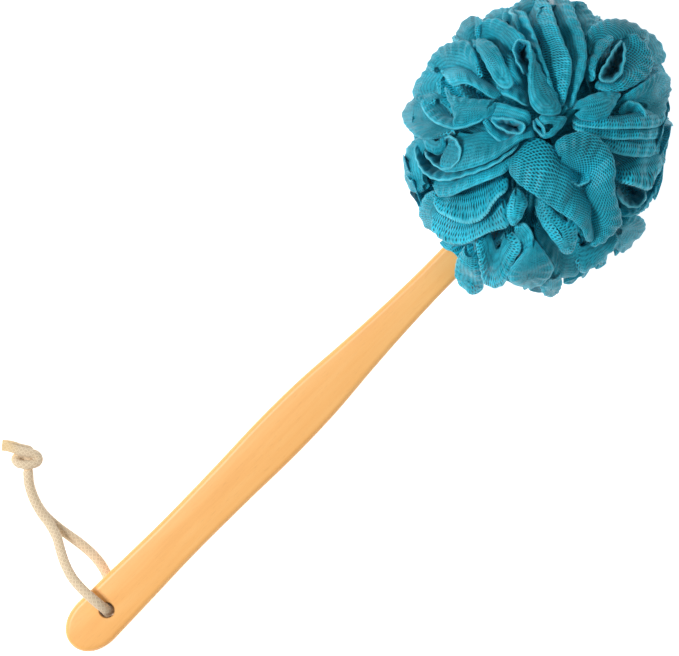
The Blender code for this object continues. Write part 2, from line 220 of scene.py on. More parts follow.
class Nodes:
    """A short way to wire a material's nodes."""

    def __init__(self, name):
        self.material = bpy.data.materials.new(name)
        self.material.use_nodes = True
        self.tree = self.material.node_tree
        self.shader = self.tree.nodes["Principled BSDF"]

    def add(self, kind, inputs=(), **settings):
        node = self.tree.nodes.new(kind)
        for key, value in settings.items():
            setattr(node, key, value)
        for key, value in dict(inputs).items():
            self.put(node.inputs[key], value)
        return node

    def put(self, socket, value):
        if isinstance(value, bpy.types.NodeSocket):
            self.tree.links.new(value, socket)
        else:
            socket.default_value = value

    def math(self, operation, *values, clamp=False):
        node = self.add("ShaderNodeMath", operation=operation, use_clamp=clamp)
        for socket, value in zip(node.inputs, values):
            self.put(socket, value)
        return node.outputs[0]

    def vector(self, operation, first, second):
        second_key = "Scale" if operation == "SCALE" else 1
        node = self.add("ShaderNodeVectorMath", {0: first, second_key: second}, operation=operation)
        return node.outputs["Value" if operation == "DISTANCE" else "Vector"]

    def fade(self, distance, reach):
        """One where a distance is zero, and nothing from its reach on."""
        return self.math("MULTIPLY_ADD", distance, -1 / reach, 1.0, clamp=True)

    def place(self):
        return self.add("ShaderNodeTexCoord").outputs["Object"]

    def noise(self, vector, scale, detail=2.0, roughness=0.5):
        node = self.add("ShaderNodeTexNoise", {"Vector": vector, "Scale": scale, "Detail": detail,
                                               "Roughness": roughness})
        return node.outputs["Fac"]

    def mapped(self, vector, **settings):
        return self.add("ShaderNodeMapping", {"Vector": vector, **settings}).outputs[0]

    def ramp(self, value, stops):
        node = self.add("ShaderNodeValToRGB", {"Fac": value})
        ramp = node.color_ramp
        while len(ramp.elements) < len(stops):
            ramp.elements.new(0.5)
        for element, (place, colour) in zip(ramp.elements, stops):
            element.position = place
            element.color = (*colour, 1)
        return node.outputs["Color"]

    def mix(self, share, first, second):
        node = self.add("ShaderNodeMix", data_type="RGBA")
        self.put(node.inputs["Factor"], share)
        colours = [socket for socket in node.inputs if socket.type == "RGBA"]
        for socket, colour in zip(colours, (first, second)):
            self.put(socket, colour if isinstance(colour, bpy.types.NodeSocket) else (*colour, 1))
        return next(socket for socket in node.outputs if socket.type == "RGBA")

    def bump(self, height, distance, strength):
        node = self.add("ShaderNodeBump", {"Height": height, "Distance": distance, "Strength": strength})
        self.put(self.shader.inputs["Normal"], node.outputs["Normal"])

    def shade(self, **values):
        for key, value in values.items():
            self.put(self.shader.inputs[key.replace("_", " ")], value)


# ---- camera, light and floor ----

def add_camera():
    data = bpy.data.cameras.new("camera")
    camera = bpy.data.objects.new("camera", data)
    bpy.context.scene.collection.objects.link(camera)
    camera.location = (*VIEW_CENTRE, CAMERA_HEIGHT + BALL_CENTRE.z)
    camera.rotation_euler = (0, 0, CAMERA_TURN)
    data.sensor_width = SENSOR
    data.lens = SENSOR * CAMERA_HEIGHT / VIEW_WIDTH
    data.clip_end = CLIP_END
    bpy.context.scene.camera = camera


def add_light(name, azimuth, elevation, distance, size, power):
    data = bpy.data.lights.new(name, "AREA")
    data.shape = "DISK"
    data.size = size
    data.energy = power
    light = bpy.data.objects.new(name, data)
    bpy.context.scene.collection.objects.link(light)
    heading, rise = math.radians(azimuth), math.radians(elevation)
    level = math.cos(rise)
    away = Vector((math.cos(heading) * level, math.sin(heading) * level, math.sin(rise)))
    light.location = LIT_POINT + away * distance
    light.rotation_euler = away.to_track_quat("Z", "Y").to_euler()


def add_studio():
    scene = bpy.context.scene
    scene.view_settings.view_transform = "Standard"
    scene.cycles.transparent_max_bounces = LAYERS_SEEN_THROUGH
    world = bpy.data.worlds.new("studio")
    world.use_nodes = True
    background = world.node_tree.nodes["Background"]
    background.inputs["Color"].default_value = (1, 1, 1, 1)
    background.inputs["Strength"].default_value = WORLD_STRENGTH
    scene.world = world
    for light in LIGHTS:
        add_light(*light)
    pale = Nodes("floor")
    pale.shade(Base_Color=(0.9, 0.9, 0.9, 1), Roughness=0.9, Emission_Color=(1, 1, 1, 1),
               Emission_Strength=0.85)
    turns = ((-1, -1), (1, -1), (1, 1), (-1, 1))
    corners = [(x * FLOOR_HALF_SIDE, y * FLOOR_HALF_SIDE, 0) for x, y in turns]
    floor = mesh_object("floor", corners, [(0, 1, 2, 3)], pale.material)
    floor.location.z = -FLOOR_DROP


# ---- the hanging cord ----

BRAID_STRANDS = 12  # each way round
BRAID_HEIGHT = 0.16 * MM
BRAID_LEVEL = 0.6  # how far up the relief the cord's own diameter lies
BRAID_CROSSING = 9  # how sharply a strand passes over another
BRAID_UNDER = 0.35  # how high a strand stands where it passes under, as a share of where it passes over
BRAID_LOFT = 1.12  # the loose braid's width over its nominal one
CORD_SIDES = 64
CORD_STEP = 0.3 * MM
CORD_FLOOR_GAP = 0.05 * MM
HIDDEN_STEPS = 8  # how far a leg is drawn on inside the hole
SWELLING_LENGTH = 3.4 * MM  # from the middle of the hole, in which a leg is pressed wider

KNOT_CENTRE = Vector((24.6, 79.2, 5.3)) * MM  # from the floor under the hanging hole
KNOT_TURN = math.radians(-45)
STRAND_DIAMETER = 0.99 * CORD_DIAMETER
# The knot's turns, in its own frame: x along its long way, y toward the ball's side of it, z up, in mm
KNOT_STRANDS = (
    ((0.0, -9.0, 1.6), (0.1, -6.0, 1.2), (0.4, -3.0, -0.6), (0.2, 0.4, -1.2), (-1.6, 2.4, -0.6),
     (-4.6, 2.0, -0.2), (-6.0, -0.2, 0.8), (-4.4, -2.0, 2.6), (-1.2, -2.6, 3.6), (2.0, -2.4, 3.6),
     (4.6, -1.4, 2.8), (5.2, 0.6, 2.2), (3.6, 2.4, 2.8), (0.4, 3.2, 3.4), (-3.6, 4.2, 3.2), (-7.4, 5.4, 2.8),
     (-10.2, 6.2, 2.4), (-12.4, 6.4, 2.2)),
    ((0.1, -9.0, -3.0), (0.1, -6.0, -3.0), (-0.8, -3.0, -3.0), (-2.4, -0.6, -3.0), (-1.4, 1.4, -2.8),
     (0.8, 3.0, -2.2), (0.2, 4.6, -1.8), (-4.0, 5.6, -1.4), (-8.0, 7.0, -1.2), (-12.6, 7.6, -1.0)),
)
KNOT_FRAME = (Matrix.Translation(Vector((HOLE.x, HOLE.y, 0)) + KNOT_CENTRE)
              @ Matrix.Rotation(KNOT_TURN, 4, "Z"))
CUT_END = KNOT_FRAME @ (Vector((-12.5, 7, 1)) * MM)  # where the cord's two ends are cut
CUT_COLOUR = (0.95, 0.64, 0.24)
CUT_REACH = 10 * MM  # how far from the cut the ends have yellowed


def braid(angle, along, diameter):
    """How far a braided cord's surface stands out, at an angle round it and a distance along it."""
    turn = angle / (2 * math.pi) * BRAID_STRANDS
    pitch = math.pi * diameter / BRAID_STRANDS
    right = turn + along / pitch
    left = turn - along / pitch
    right_hump = np.abs(np.cos(math.pi * right))
    left_hump = np.abs(np.cos(math.pi * left))
    over = np.sin(math.pi * (right + left) / 2) * np.sin(math.pi * (right - left) / 2)
    share = 1 / (1 + np.exp(-over * BRAID_CROSSING))
    rise = 1 - BRAID_UNDER
    return right_hump * (BRAID_UNDER + rise * share) * share + left_hump * (1 - rise * share) * (1 - share)


def cord_tube(path, diameter, swelling):
    """A braided tube round a path: its rows of points, their places in the braid and its relief there."""
    ahead, side, up = carried_frames(path)
    far = np.concatenate([[0], np.cumsum(np.linalg.norm(np.diff(path, axis=0), axis=1))])
    angles = np.linspace(0, 2 * math.pi, CORD_SIDES, endpoint=False)
    relief = braid(angles[None, :], far[:, None], diameter)
    radius = (diameter / 2 + BRAID_HEIGHT * (relief - BRAID_LEVEL)) * swelling[:, None]
    cos, sin = np.cos(angles)[None, :, None], np.sin(angles)[None, :, None]
    rows = path[:, None, :] + radius[..., None] * (cos * side[:, None, :] + sin * up[:, None, :])
    uvs = np.stack(np.broadcast_arrays(angles[None, :] / (2 * math.pi), far[:, None] / diameter), -1)
    return rows, uvs, relief


def cord_mesh(name, paths, surface):
    """One mesh of closed braided tubes; each path has its own diameter and swelling."""
    verts, faces, uvs, heights = [], [], [], []
    for path, diameter, swelling in paths:
        rows, places, relief = cord_tube(path, diameter, swelling)
        rows[..., 2] = np.maximum(rows[..., 2], CORD_FLOOR_GAP)  # it flattens where it lies on the floor
        start = len(verts)
        verts.extend(rows.reshape(-1, 3))
        uvs.extend(places.reshape(-1, 2))
        heights.extend(relief.ravel())
        faces.extend(grid_faces(*rows.shape[:2], closed=True, start=start))
        first = [start + j for j in range(CORD_SIDES)]
        last = [start + (len(rows) - 1) * CORD_SIDES + j for j in range(CORD_SIDES)]
        faces.append(first[::-1])
        faces.append(last)
    made = mesh_object(name, verts, faces, surface, uvs)
    relief_layer = made.data.attributes.new("relief", "FLOAT", "POINT")
    relief_layer.data.foreach_set("value", np.asarray(heights, np.float32))
    return made


def cotton_material():
    n = Nodes("cotton_braid")
    place = n.place()
    relief = n.add("ShaderNodeAttribute", attribute_name="relief").outputs["Fac"]
    yarn = n.noise(place, 1400, 3, 0.6)
    blotch = n.noise(place, 160)
    # Painted shade: the braid's low places, between its strands, are coloured darker; the yarn noise adds
    # random tone
    base = n.ramp(n.math("ADD", n.math("MULTIPLY", relief, 0.75), n.math("MULTIPLY", yarn, 0.35)), (
        (0.10, (0.30, 0.19, 0.10)),
        (0.42, (0.66, 0.51, 0.34)),
        (0.95, (0.90, 0.77, 0.57)),
    ))
    colour = n.mix(n.math("MULTIPLY", blotch, 0.35), base, (0.74, 0.56, 0.34))
    near_cut = n.fade(n.vector("DISTANCE", place, tuple(CUT_END)), CUT_REACH)
    colour = n.mix(n.math("MULTIPLY", near_cut, 0.7), colour, CUT_COLOUR)
    n.shade(Base_Color=colour, Roughness=0.85, Sheen_Weight=0.25, Sheen_Roughness=0.5)
    n.bump(yarn, 0.00012, 0.6)
    return n.material


def add_cord(knot, surface):
    """The loop's two legs, which meet in the hole and run over and under the handle to the knot."""
    floor = Vector((HOLE.x, HOLE.y, 0))
    route = [tuple(Vector(place) + floor) for place in CORD_ROUTE]
    middle = min(range(len(CORD_ROUTE)), key=lambda k: math.hypot(*CORD_ROUTE[k][:2]))
    exits = HANDLE_UP * (HANDLE_THICKNESS / 2)
    legs = (  # (name, route, exit, how much the hole presses it wider)
        ("front", route[middle::-1], HOLE + exits, 0.22),
        ("back", route[middle:], HOLE - exits, 0.40),
    )
    for name, run, exit_point, wider in legs:
        path, length = smooth_points(run, CORD_STEP)
        inside = path[0] - np.outer(np.arange(HIDDEN_STEPS, 0, -1) * CORD_STEP, unit(path[1] - path[0]))
        far = np.arange(-HIDDEN_STEPS, len(path)) * CORD_STEP
        swelling = 1 + wider * np.exp(-((far / SWELLING_LENGTH) ** 2))
        drawn = (np.vstack([inside, path]), CORD_DIAMETER * BRAID_LOFT, swelling)
        leg = cord_mesh(f"hanging_cord_{name}", [drawn], surface)
        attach(leg, "hanging_loop")
        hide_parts("hanging_cord")


def add_knot(surface):
    paths = []
    for strand in KNOT_STRANDS:
        places = [tuple(KNOT_FRAME @ (Vector(place) * MM)) for place in strand]
        path, _ = smooth_points(places, CORD_STEP)
        paths.append((path, STRAND_DIAMETER, np.ones(len(path))))
    knot = cord_mesh("hanging_cord_knot_braid", paths, surface)
    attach(knot, "hanging_loop")
    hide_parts("hanging_cord_knot", "hanging_cord_end_a", "hanging_cord_end_b")
    return knot


def dress_binding():
    """Gives the binding's CAD pieces the look of a dyed twisted cord."""
    n = Nodes("binding_twist")
    place = n.place()
    yarn = n.noise(place, 900, 3, 0.6)
    colour = n.ramp(yarn, ((0.3, (0.006, 0.17, 0.23)), (0.7, (0.014, 0.36, 0.47))))
    n.shade(Base_Color=colour, Roughness=0.7)
    n.bump(yarn, 0.00015, 0.5)
    for node in ("binding_cord", "binding_knot"):
        for slot in bpy.data.objects[node].material_slots:
            slot.material = n.material


# ---- the handle ----

def handle_half_width(x):
    """Half of the handle's width at a distance from the tail's end, between its round ends."""
    at = [place for place, _ in HANDLE_WIDTHS]
    wide = [width / 2 for _, width in HANDLE_WIDTHS]
    slopes = np.gradient(wide, at)
    k = min(max(np.searchsorted(at, x) - 1, 0), len(at) - 2)
    run = at[k + 1] - at[k]
    t = min(max((x - at[k]) / run, 0), 1)
    return ((1 + 2 * t) * (1 - t) ** 2 * wide[k] + t * (1 - t) ** 2 * run * slopes[k]
            + t * t * (3 - 2 * t) * wide[k + 1] + t * t * (t - 1) * run * slopes[k + 1])


def handle_outline():
    """The +y side of the outline, from the tail's end to the head's."""
    side = []
    for angle in np.linspace(0, math.pi / 2, TAIL_STEPS)[:-1]:
        x = TAIL_ROUND_LENGTH * (1 - math.cos(angle))
        side.append((x, HANDLE_WIDTHS[0][1] / 2 * math.sin(angle) ** TAIL_FULLNESS))
    for x in np.arange(TAIL_ROUND_LENGTH, HANDLE_LENGTH - HEAD_ROUND_LENGTH, OUTLINE_STEP):
        side.append((x, handle_half_width(x)))
    for angle in np.linspace(0, math.pi / 2, HEAD_STEPS):
        x = HANDLE_LENGTH - HEAD_ROUND_LENGTH * (1 - math.sin(angle))
        side.append((x, HANDLE_WIDTHS[-1][1] / 2 * math.cos(angle)))
    return np.array(side[1:-1])


def wood_material():
    n = Nodes("waxed_wood")
    place = n.place()
    lined = n.mapped(n.mapped(place, Location=tuple(-HOLE)), Rotation=(0, HANDLE_SLOPE, 0))
    long = n.mapped(lined, Scale=(0.06, 1, 0.7))
    wavy = n.noise(n.mapped(lined, Scale=(0.25, 1, 1)), 45)
    streak = n.noise(long, 520, 4, 0.6)
    broad = n.noise(long, 120, 3, 0.55)
    pores = n.noise(n.mapped(lined, Scale=(0.12, 1, 1)), 1700, 2, 0.6)
    tone = n.math("ADD", n.math("MULTIPLY", streak, 0.45), n.math("MULTIPLY", broad, 0.55))
    base = n.ramp(tone, (
        (0.30, (0.92, 0.44, 0.122)),
        (0.50, (0.98, 0.50, 0.150)),
        (0.72, (1.0, 0.56, 0.195)),
    ))
    mottled = n.mix(n.math("MULTIPLY", wavy, 0.28), base, (0.98, 0.47, 0.13))
    pored = n.mix(n.ramp(pores, ((0.60, (0, 0, 0)), (0.72, (0.22, 0.22, 0.22)))), mottled, (0.70, 0.30, 0.08))
    # The hole's wall and its rim are coloured dark brown, fading out away from the hole
    split = n.add("ShaderNodeSeparateXYZ", {"Vector": lined}).outputs
    away = n.math("SQRT", n.math("ADD", n.math("POWER", split[0], 2.0), n.math("POWER", split[1], 2.0)))
    brown_fade_from = HOLE_RADIUS - BROWN_BEGINS
    rim = n.math("MULTIPLY_ADD", away, 1 / BROWN_FADE, -brown_fade_from / BROWN_FADE, clamp=True)
    n.shade(Base_Color=n.mix(rim, (0.16, 0.055, 0.016), pored), Roughness=0.42, Coat_Weight=0.12,
            Coat_Roughness=0.35)
    n.bump(n.math("ADD", n.math("MULTIPLY", pores, 0.6), n.math("MULTIPLY", streak, 0.4)), 0.00008, 0.5)
    return n.material


def add_drill():
    """The solid that cuts the hanging hole and its chamfers, round the z axis."""
    half = HANDLE_THICKNESS / 2
    flared = HOLE_RADIUS + HOLE_CHAMFER + half
    profile = ((0, -2 * half), (flared, -2 * half), (HOLE_RADIUS, -half + HOLE_CHAMFER),
               (HOLE_RADIUS, half - HOLE_CHAMFER), (flared, 2 * half), (0, 2 * half))
    bm = bmesh.new()
    line = [bm.verts.new((r, 0, z)) for r, z in profile]
    edges = [bm.edges.new(pair) for pair in zip(line, line[1:])]
    bmesh.ops.spin(bm, geom=line + edges, axis=(0, 0, 1), cent=(0, 0, 0), steps=HOLE_SIDES,
                   angle=2 * math.pi)
    bmesh.ops.remove_doubles(bm, verts=bm.verts, dist=1e-6)
    bmesh.ops.recalc_face_normals(bm, faces=bm.faces)
    mesh = bpy.data.meshes.new("drill")
    bm.to_mesh(mesh)
    bm.free()
    drill = bpy.data.objects.new("drill", mesh)
    bpy.context.scene.collection.objects.link(drill)
    return drill


def add_handle(surface):
    """The handle as a stack of outlines, inset toward each flat where the edge is rounded."""
    side = handle_outline()
    outline = np.vstack([[(0, 0)], side, [(HANDLE_LENGTH, 0)], side[::-1] * (1, -1)])
    ahead = unit(np.roll(outline, -1, 0) - np.roll(outline, 1, 0))
    inward = np.stack([ahead[:, 1], -ahead[:, 0]], 1)
    levels = [(EDGE_ROUND * (1 - math.cos(angle)), HANDLE_THICKNESS / 2 - EDGE_ROUND * (1 - math.sin(angle)))
              for angle in np.linspace(math.pi / 2, 0, EDGE_STEPS)]
    levels += [(inset, -height) for inset, height in reversed(levels)]
    rows = []
    for inset, height in levels:
        ring = outline + inward * inset
        rows.append(np.column_stack([ring[:, 0] - HOLE_FROM_TAIL, ring[:, 1], np.full(len(ring), height)]))
    count = len(outline)
    faces = grid_faces(len(rows), count, closed=True)
    faces.append(tuple(range(count))[::-1])
    faces.append(tuple((len(rows) - 1) * count + j for j in range(count)))
    handle = mesh_object("wooden_handle", np.vstack(rows), faces, surface)
    drill = add_drill()
    handle.modifiers.new("hole", "BOOLEAN").object = drill
    evaluated = handle.evaluated_get(bpy.context.evaluated_depsgraph_get())
    handle.data = bpy.data.meshes.new_from_object(evaluated)
    handle.modifiers.clear()
    bpy.data.objects.remove(drill)
    handle.data.set_sharp_from_angle(angle=SHARP_ANGLE)
    handle.data.transform(Matrix.Translation(HOLE) @ Matrix.Rotation(-HANDLE_SLOPE, 4, "Y"))
    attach(handle, "scrubber")
    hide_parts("handle")


# ---- the ball of netting ----

# The ball's half width seen from above, at even turns from +X round toward +Y
BALL_OUTLINE = np.array((78, 75.5, 73, 70, 67, 68.5, 73.5, 77, 75, 69, 63.5, 69.5)) * MM
BALL_HALF_HEIGHT = 60 * MM
FRONT_POLE = unit(np.array((0.26, 0.0, 0.97)))
BACK_POLE = unit(np.array((-0.16, 0.06, -0.98)))
SIDES = (  # (name, pole, heading of the neck round it, whether its ruffles are clear of the neck, seed)
    ("front", FRONT_POLE, math.pi, True, 21),
    ("back", BACK_POLE, 0, False, 47),
)
CORE_RADIUS = 16 * MM
CORE_SHIFT = 62 * MM  # how far the tied middle lies toward each pole's side, for a pole that lies level
RIM_RADIUS = 0.5 * MM  # of the fold at a ruffle's rim
RIM_STEP = 1.3 * MM
FOLD_TURNS = np.linspace(-math.pi / 2, math.pi / 2, 5)  # round the fold at a rim
RING_RADIUS = 68 * MM  # turns a distance over the ball into an angle
RINGS = (  # (inner edge, outer edge, number of pleats) of each ring of ruffles, from its pole outward
    (7 * MM, 40 * MM, 7),
    (37 * MM, 72 * MM, 14),
    (66 * MM, 101 * MM, 19),
)
DEPTHS = np.array((1.2, 2.6, 4.4, 6.8, 9.8, 13.5, 18.0, 24.0, 31.0, 40.0, 52.0)) * MM  # below a ruffle's fold


class Waves:
    """A smooth random field of vectors: a few plane waves, the same on each run."""

    def __init__(self, seed, length):
        count = 7
        draw = np.random.default_rng(seed)
        self.along = unit(draw.normal(size=(count, 3))) * (2 * math.pi / length)
        self.along *= draw.uniform(0.6, 1.4, (count, 1))
        self.start = draw.uniform(0, 2 * math.pi, (count, 3))
        self.height = unit(draw.normal(size=(count, 3))) * math.sqrt(2 / count)

    def __call__(self, points):
        phase = points @ self.along.T
        return np.einsum("...nk,nk->...k", np.sin(phase[..., None] + self.start), self.height)


def ball_radius(directions):
    """The ball's radius in each direction: its outline from above, rounded off to its half height."""
    sides = len(BALL_OUTLINE)
    turn = np.mod(np.degrees(np.arctan2(directions[..., 1], directions[..., 0])), 360) / (360 / sides)
    low = np.floor(turn).astype(int)
    share = turn - low
    ease = share * share * (3 - 2 * share)
    wide = BALL_OUTLINE[low % sides] * (1 - ease) + BALL_OUTLINE[(low + 1) % sides] * ease
    flat = np.hypot(directions[..., 0], directions[..., 1])
    return 1 / np.sqrt((flat / wide) ** 2 + (directions[..., 2] / BALL_HALF_HEIGHT) ** 2)


def pole_axes(pole):
    first = unit(np.cross((0.0, 1.0, 0.0), pole))
    return pole, first, np.cross(pole, first)


def on_ball(pole, reach, heading):
    """The direction that lies a distance over the ball from a pole, at a heading round it."""
    up, first, second = pole_axes(pole)
    angle = (reach / RING_RADIUS)[..., None]
    round_it = np.cos(heading)[..., None] * first + np.sin(heading)[..., None] * second
    return np.cos(angle) * up + np.sin(angle) * round_it


# How the legs of a ring's pleats vary: widths and leans are in mean widths of a leg, heights in ball radii
LEG_WIDTHS = (0.55, 1.45)
NECK_WIDTH = 1.2  # of the gap that the neck passes through, in a ring that starts at its pole
NECK_WIDENING = 50 * MM  # how much further out a ring starts for its gap to be one leg wider
INNER_ENDS = (-3 * MM, 5 * MM)  # from the ring's own edges
OUTER_ENDS = (-6 * MM, 3 * MM)
NECK_STRETCH = 0.05  # how much further a ring clear of the neck reaches toward it
LEAN = 0.35
WANDER = 0.10
LEG_HEIGHT = (0.88, 1.02)
HEIGHT_ALONG_LEG = np.array((0.92, 0.98, 1.0, 1.0, 0.985, 0.95))
HEIGHT_WORTH = 30 * MM  # what a ball radius of height counts for in the length of a rim


def ruffle_rim(ring, neck, clear, draw):
    """The wavy rim of one ring of pleats, out along one leg of a pleat and back along the other.

    Its points are (reach, heading, height) at even spacing."""
    inner, outer, pleats = ring
    legs = 2 * pleats
    widths = draw.uniform(*LEG_WIDTHS, legs)
    if not clear:
        widths[-1] = NECK_WIDTH + inner / NECK_WIDENING  # the neck passes between the last leg and the first
    widths *= 2 * math.pi / widths.sum()
    headings = neck + widths[-1] / 2 + np.concatenate([[0], np.cumsum(widths)[:-1]])
    mean = 2 * math.pi / legs
    points = []
    for k in range(legs):
        start = inner + draw.uniform(*INNER_ENDS)
        stretch = 1 + NECK_STRETCH * clear * math.cos(headings[k] - neck)
        end = outer * stretch + draw.uniform(*OUTER_ENDS)
        lean = draw.uniform(-LEAN, LEAN) * mean
        heights = draw.uniform(*LEG_HEIGHT) * HEIGHT_ALONG_LEG
        run = []
        for share, height in zip(np.linspace(0, 1, len(heights)), heights):
            aside = lean * (share - 0.5) + draw.uniform(-WANDER, WANDER) * mean
            run.append((start + (end - start) * share, headings[k] + aside, height))
        points.extend(run if k % 2 == 0 else run[::-1])
    points.append((points[0][0], points[0][1] + 2 * math.pi, points[0][2]))
    # One unit of heading is worth its width on the ball, so that the turns come out round
    width = RING_RADIUS * math.sin(min((inner + outer) / 2 / RING_RADIUS, math.pi / 2))
    worth = np.array((1, width, HEIGHT_WORTH))
    even, _ = smooth_points(np.array(points) * worth, RIM_STEP)
    return even / worth


HANDLE_ROOM = (9.6 * MM, 5.0 * MM)  # half the width and the height that the netting leaves for the handle
HEAD_END = 30 * MM  # from the ball's centre along the handle, where that room starts to close
HEAD_CLOSING = 12 * MM
FLOOR_SOFTNESS = 7 * MM
NETTING_FLOOR_GAP = 0.4 * MM
NETTING_SAG = 1 * MM  # how far the netting sinks where it is flattened
SQUASH = 0.93  # how much of its height the netting keeps where the floor flattens it


def make_room_for_handle(points):
    """Moves the netting out of the handle's way: it closes round the neck and the head."""
    offset = points - np.array((BALL_CENTRE.x, HOLE.y, BALL_CENTRE.z))
    along = offset @ np.array(HANDLE_ALONG)
    up = offset @ np.array(HANDLE_UP)
    side = offset[:, 1]
    away = np.hypot(side / HANDLE_ROOM[0], up / HANDLE_ROOM[1])
    past = np.clip((along - HEAD_END) / HEAD_CLOSING, 0, 1)
    room = 1 - past * past * (3 - 2 * past)
    grown = (away**4 + room) ** 0.25
    more = grown / np.maximum(away, 1e-6) - 1
    return points + np.outer(more * side, (0.0, 1.0, 0.0)) + np.outer(more * up, HANDLE_UP)


def rest_on_floor(points):
    """Flattens what would reach below the floor, more gently the higher it is."""
    low = points[:, 2] < 2 * FLOOR_SOFTNESS
    height = (points[low, 2] - NETTING_SAG) / FLOOR_SOFTNESS
    points[low, 2] = NETTING_FLOOR_GAP + FLOOR_SOFTNESS * np.log1p(np.exp(height)) * SQUASH
    return points


CELL_WIDTH = 1.25 * MM
CELL_LENGTH = 2.8 * MM
CELL_SHIFT = 2.2 * MM  # how far the knit is pulled out of line
HOLE_SHADE_COVER = 0.68  # how much of a hole is closed, standing for the fibres of the layers behind it; it is filled with painted shade
NETTING_TINT = (0.014, 0.45, 0.61)
# The colour of the painted highlight along a ruffle's rim
RIM_HIGHLIGHT_COLOUR = (0.20, 0.75, 0.86)
RIM_HIGHLIGHT_REACH = 1.0 * MM  # how far in from its rim a ruffle carries a painted highlight
RIM_KNIT_REACH = 4.5 * MM  # how far in its knit is closer


def netting_material(name, seed):
    """Knitted netting, with its diagonal strands drawn in the cloth's own places."""
    n = Nodes(name)
    uv = n.add("ShaderNodeUVMap", uv_map="UVMap").outputs[0]
    place = n.place()
    loose = n.add("ShaderNodeTexNoise", {"Vector": place, "Scale": 90.0, "Detail": 2.0}).outputs["Color"]
    shift = n.vector("SCALE", n.vector("SUBTRACT", loose, (0.5, 0.5, 0.5)), CELL_SHIFT)
    split = n.add("ShaderNodeSeparateXYZ", {"Vector": n.vector("ADD", uv, shift)}).outputs
    across = n.math("DIVIDE", split[0], CELL_WIDTH)
    down = n.math("DIVIDE", split[1], CELL_LENGTH)
    from_rim = n.math("ABSOLUTE", n.add("ShaderNodeSeparateXYZ", {"Vector": uv}).outputs[1])
    rim_highlight = n.fade(from_rim, RIM_HIGHLIGHT_REACH)
    closing = n.fade(from_rim, RIM_KNIT_REACH)
    strand = n.math("MULTIPLY_ADD", n.noise(place, 38 + seed), -0.50, 0.57)
    strand = n.math("ADD", strand, n.math("MULTIPLY", closing, 0.30))
    lines = []
    for sign in (1.0, -1.0):
        turned = n.math("MULTIPLY_ADD", down, sign, across)
        off_line = n.math("MULTIPLY", n.math("PINGPONG", turned, 0.5), 2.0)
        lines.append(n.math("SUBTRACT", strand, off_line))
    cover = n.math("MAXIMUM", *lines)
    knitted = n.math("MULTIPLY_ADD", cover, 5.0, 0.5, clamp=True)
    # The holes are partly opaque, to show the fibres of the layers behind them in painted shade
    alpha = n.math("MULTIPLY_ADD", knitted, 1 - HOLE_SHADE_COVER, HOLE_SHADE_COVER)
    tone = n.noise(place, 60 + seed, 3, 0.6)
    fine = n.noise(place, 900, 2, 0.6)
    base = n.ramp(n.math("ADD", n.math("MULTIPLY", tone, 0.6), n.math("MULTIPLY", fine, 0.4)), (
        (0.32, tuple(0.62 * c for c in NETTING_TINT)),
        (0.50, NETTING_TINT),
        (0.68, tuple(min(1.0, 1.4 * c) for c in NETTING_TINT)),
    ))
    # A painted highlight lightens the cloth next to the rim
    rim_highlighted = n.mix(n.math("MULTIPLY", rim_highlight, 0.42), base, RIM_HIGHLIGHT_COLOUR)
    # Painted shade: the holes between the strands are coloured dark, for the shaded layers behind them
    colour = n.mix(knitted, tuple(0.28 * c for c in NETTING_TINT), rim_highlighted)
    n.shade(Base_Color=colour, Roughness=0.5, Alpha=alpha, Specular_IOR_Level=0.25, Sheen_Weight=0.25,
            Sheen_Roughness=0.4, Sheen_Tint=(0.6, 0.92, 1.0, 1))
    n.bump(cover, 0.0002, 0.4)
    return n.material


PUFF_LENGTH = 26 * MM  # of the waves in which a ruffle's two layers open and close along its rim
PUFF = 0.9  # how far they open past the rim's own width and how much that varies, in rim radii
PUFF_DEPTH = 7 * MM  # from the rim to where they are fully open
CLOSING_DEPTH = 60 * MM
WRINKLE_LENGTH = 7.5 * MM
WRINKLE_HEIGHT = 0.7 * MM
WRINKLE_DEPTH = 16 * MM  # in which the wrinkles die out below the rim
WRINKLE_DRIFT = 31 * MM  # along the rim, over which their spacing varies
WRINKLE_PATCH = 30 * MM  # the size of the stretches with and without wrinkles


def ruffle_sheet(pole, rim, seed):
    """The cloth under a rim: two layers that meet in the rim's fold and run in to the middle of the ball.

    Returns its rows of points, their places in the cloth and their shares of the way out to the ball."""
    reach, heading, height = rim.T
    direction = on_ball(pole, reach, heading)
    radius = ball_radius(direction) * height
    line = direction * radius[:, None]
    across = unit(np.cross(direction, unit(np.gradient(line, axis=0))))
    far = np.concatenate([[0], np.cumsum(np.linalg.norm(np.diff(line, axis=0), axis=1))])
    down = np.concatenate([DEPTHS[::-1], RIM_RADIUS * (1 - np.cos(FOLD_TURNS)), DEPTHS])
    layer = np.concatenate([-np.ones(len(DEPTHS)), np.sin(FOLD_TURNS), np.ones(len(DEPTHS))])
    depth_place = np.concatenate([-DEPTHS[::-1] - RIM_RADIUS, FOLD_TURNS * RIM_RADIUS, DEPTHS + RIM_RADIUS])
    puff = PUFF * (1 + Waves(seed + 5, PUFF_LENGTH)(line)[:, :1])
    gap = RIM_RADIUS * (1 + puff * np.minimum(down / PUFF_DEPTH, 1))
    gap = gap * np.maximum(1 - down / CLOSING_DEPTH, 0.2)
    left = np.maximum(radius[:, None] - down, CORE_RADIUS)
    wrinkle = np.sin(far / WRINKLE_LENGTH * 2 * math.pi + 5 * np.sin(far / WRINKLE_DRIFT))
    wrinkle = wrinkle * np.clip(Waves(seed + 9, WRINKLE_PATCH)(line)[:, 0] + 0.4, 0, 1.4)
    ripple = WRINKLE_HEIGHT * wrinkle[:, None] * np.exp(-down / WRINKLE_DEPTH)
    aside = gap * layer + ripple
    points = direction[:, None, :] * left[..., None] + across[:, None, :] * aside[..., None]
    places = np.stack(np.broadcast_arrays(far[:, None], depth_place), -1)
    return points, places, left / ball_radius(direction)[:, None]


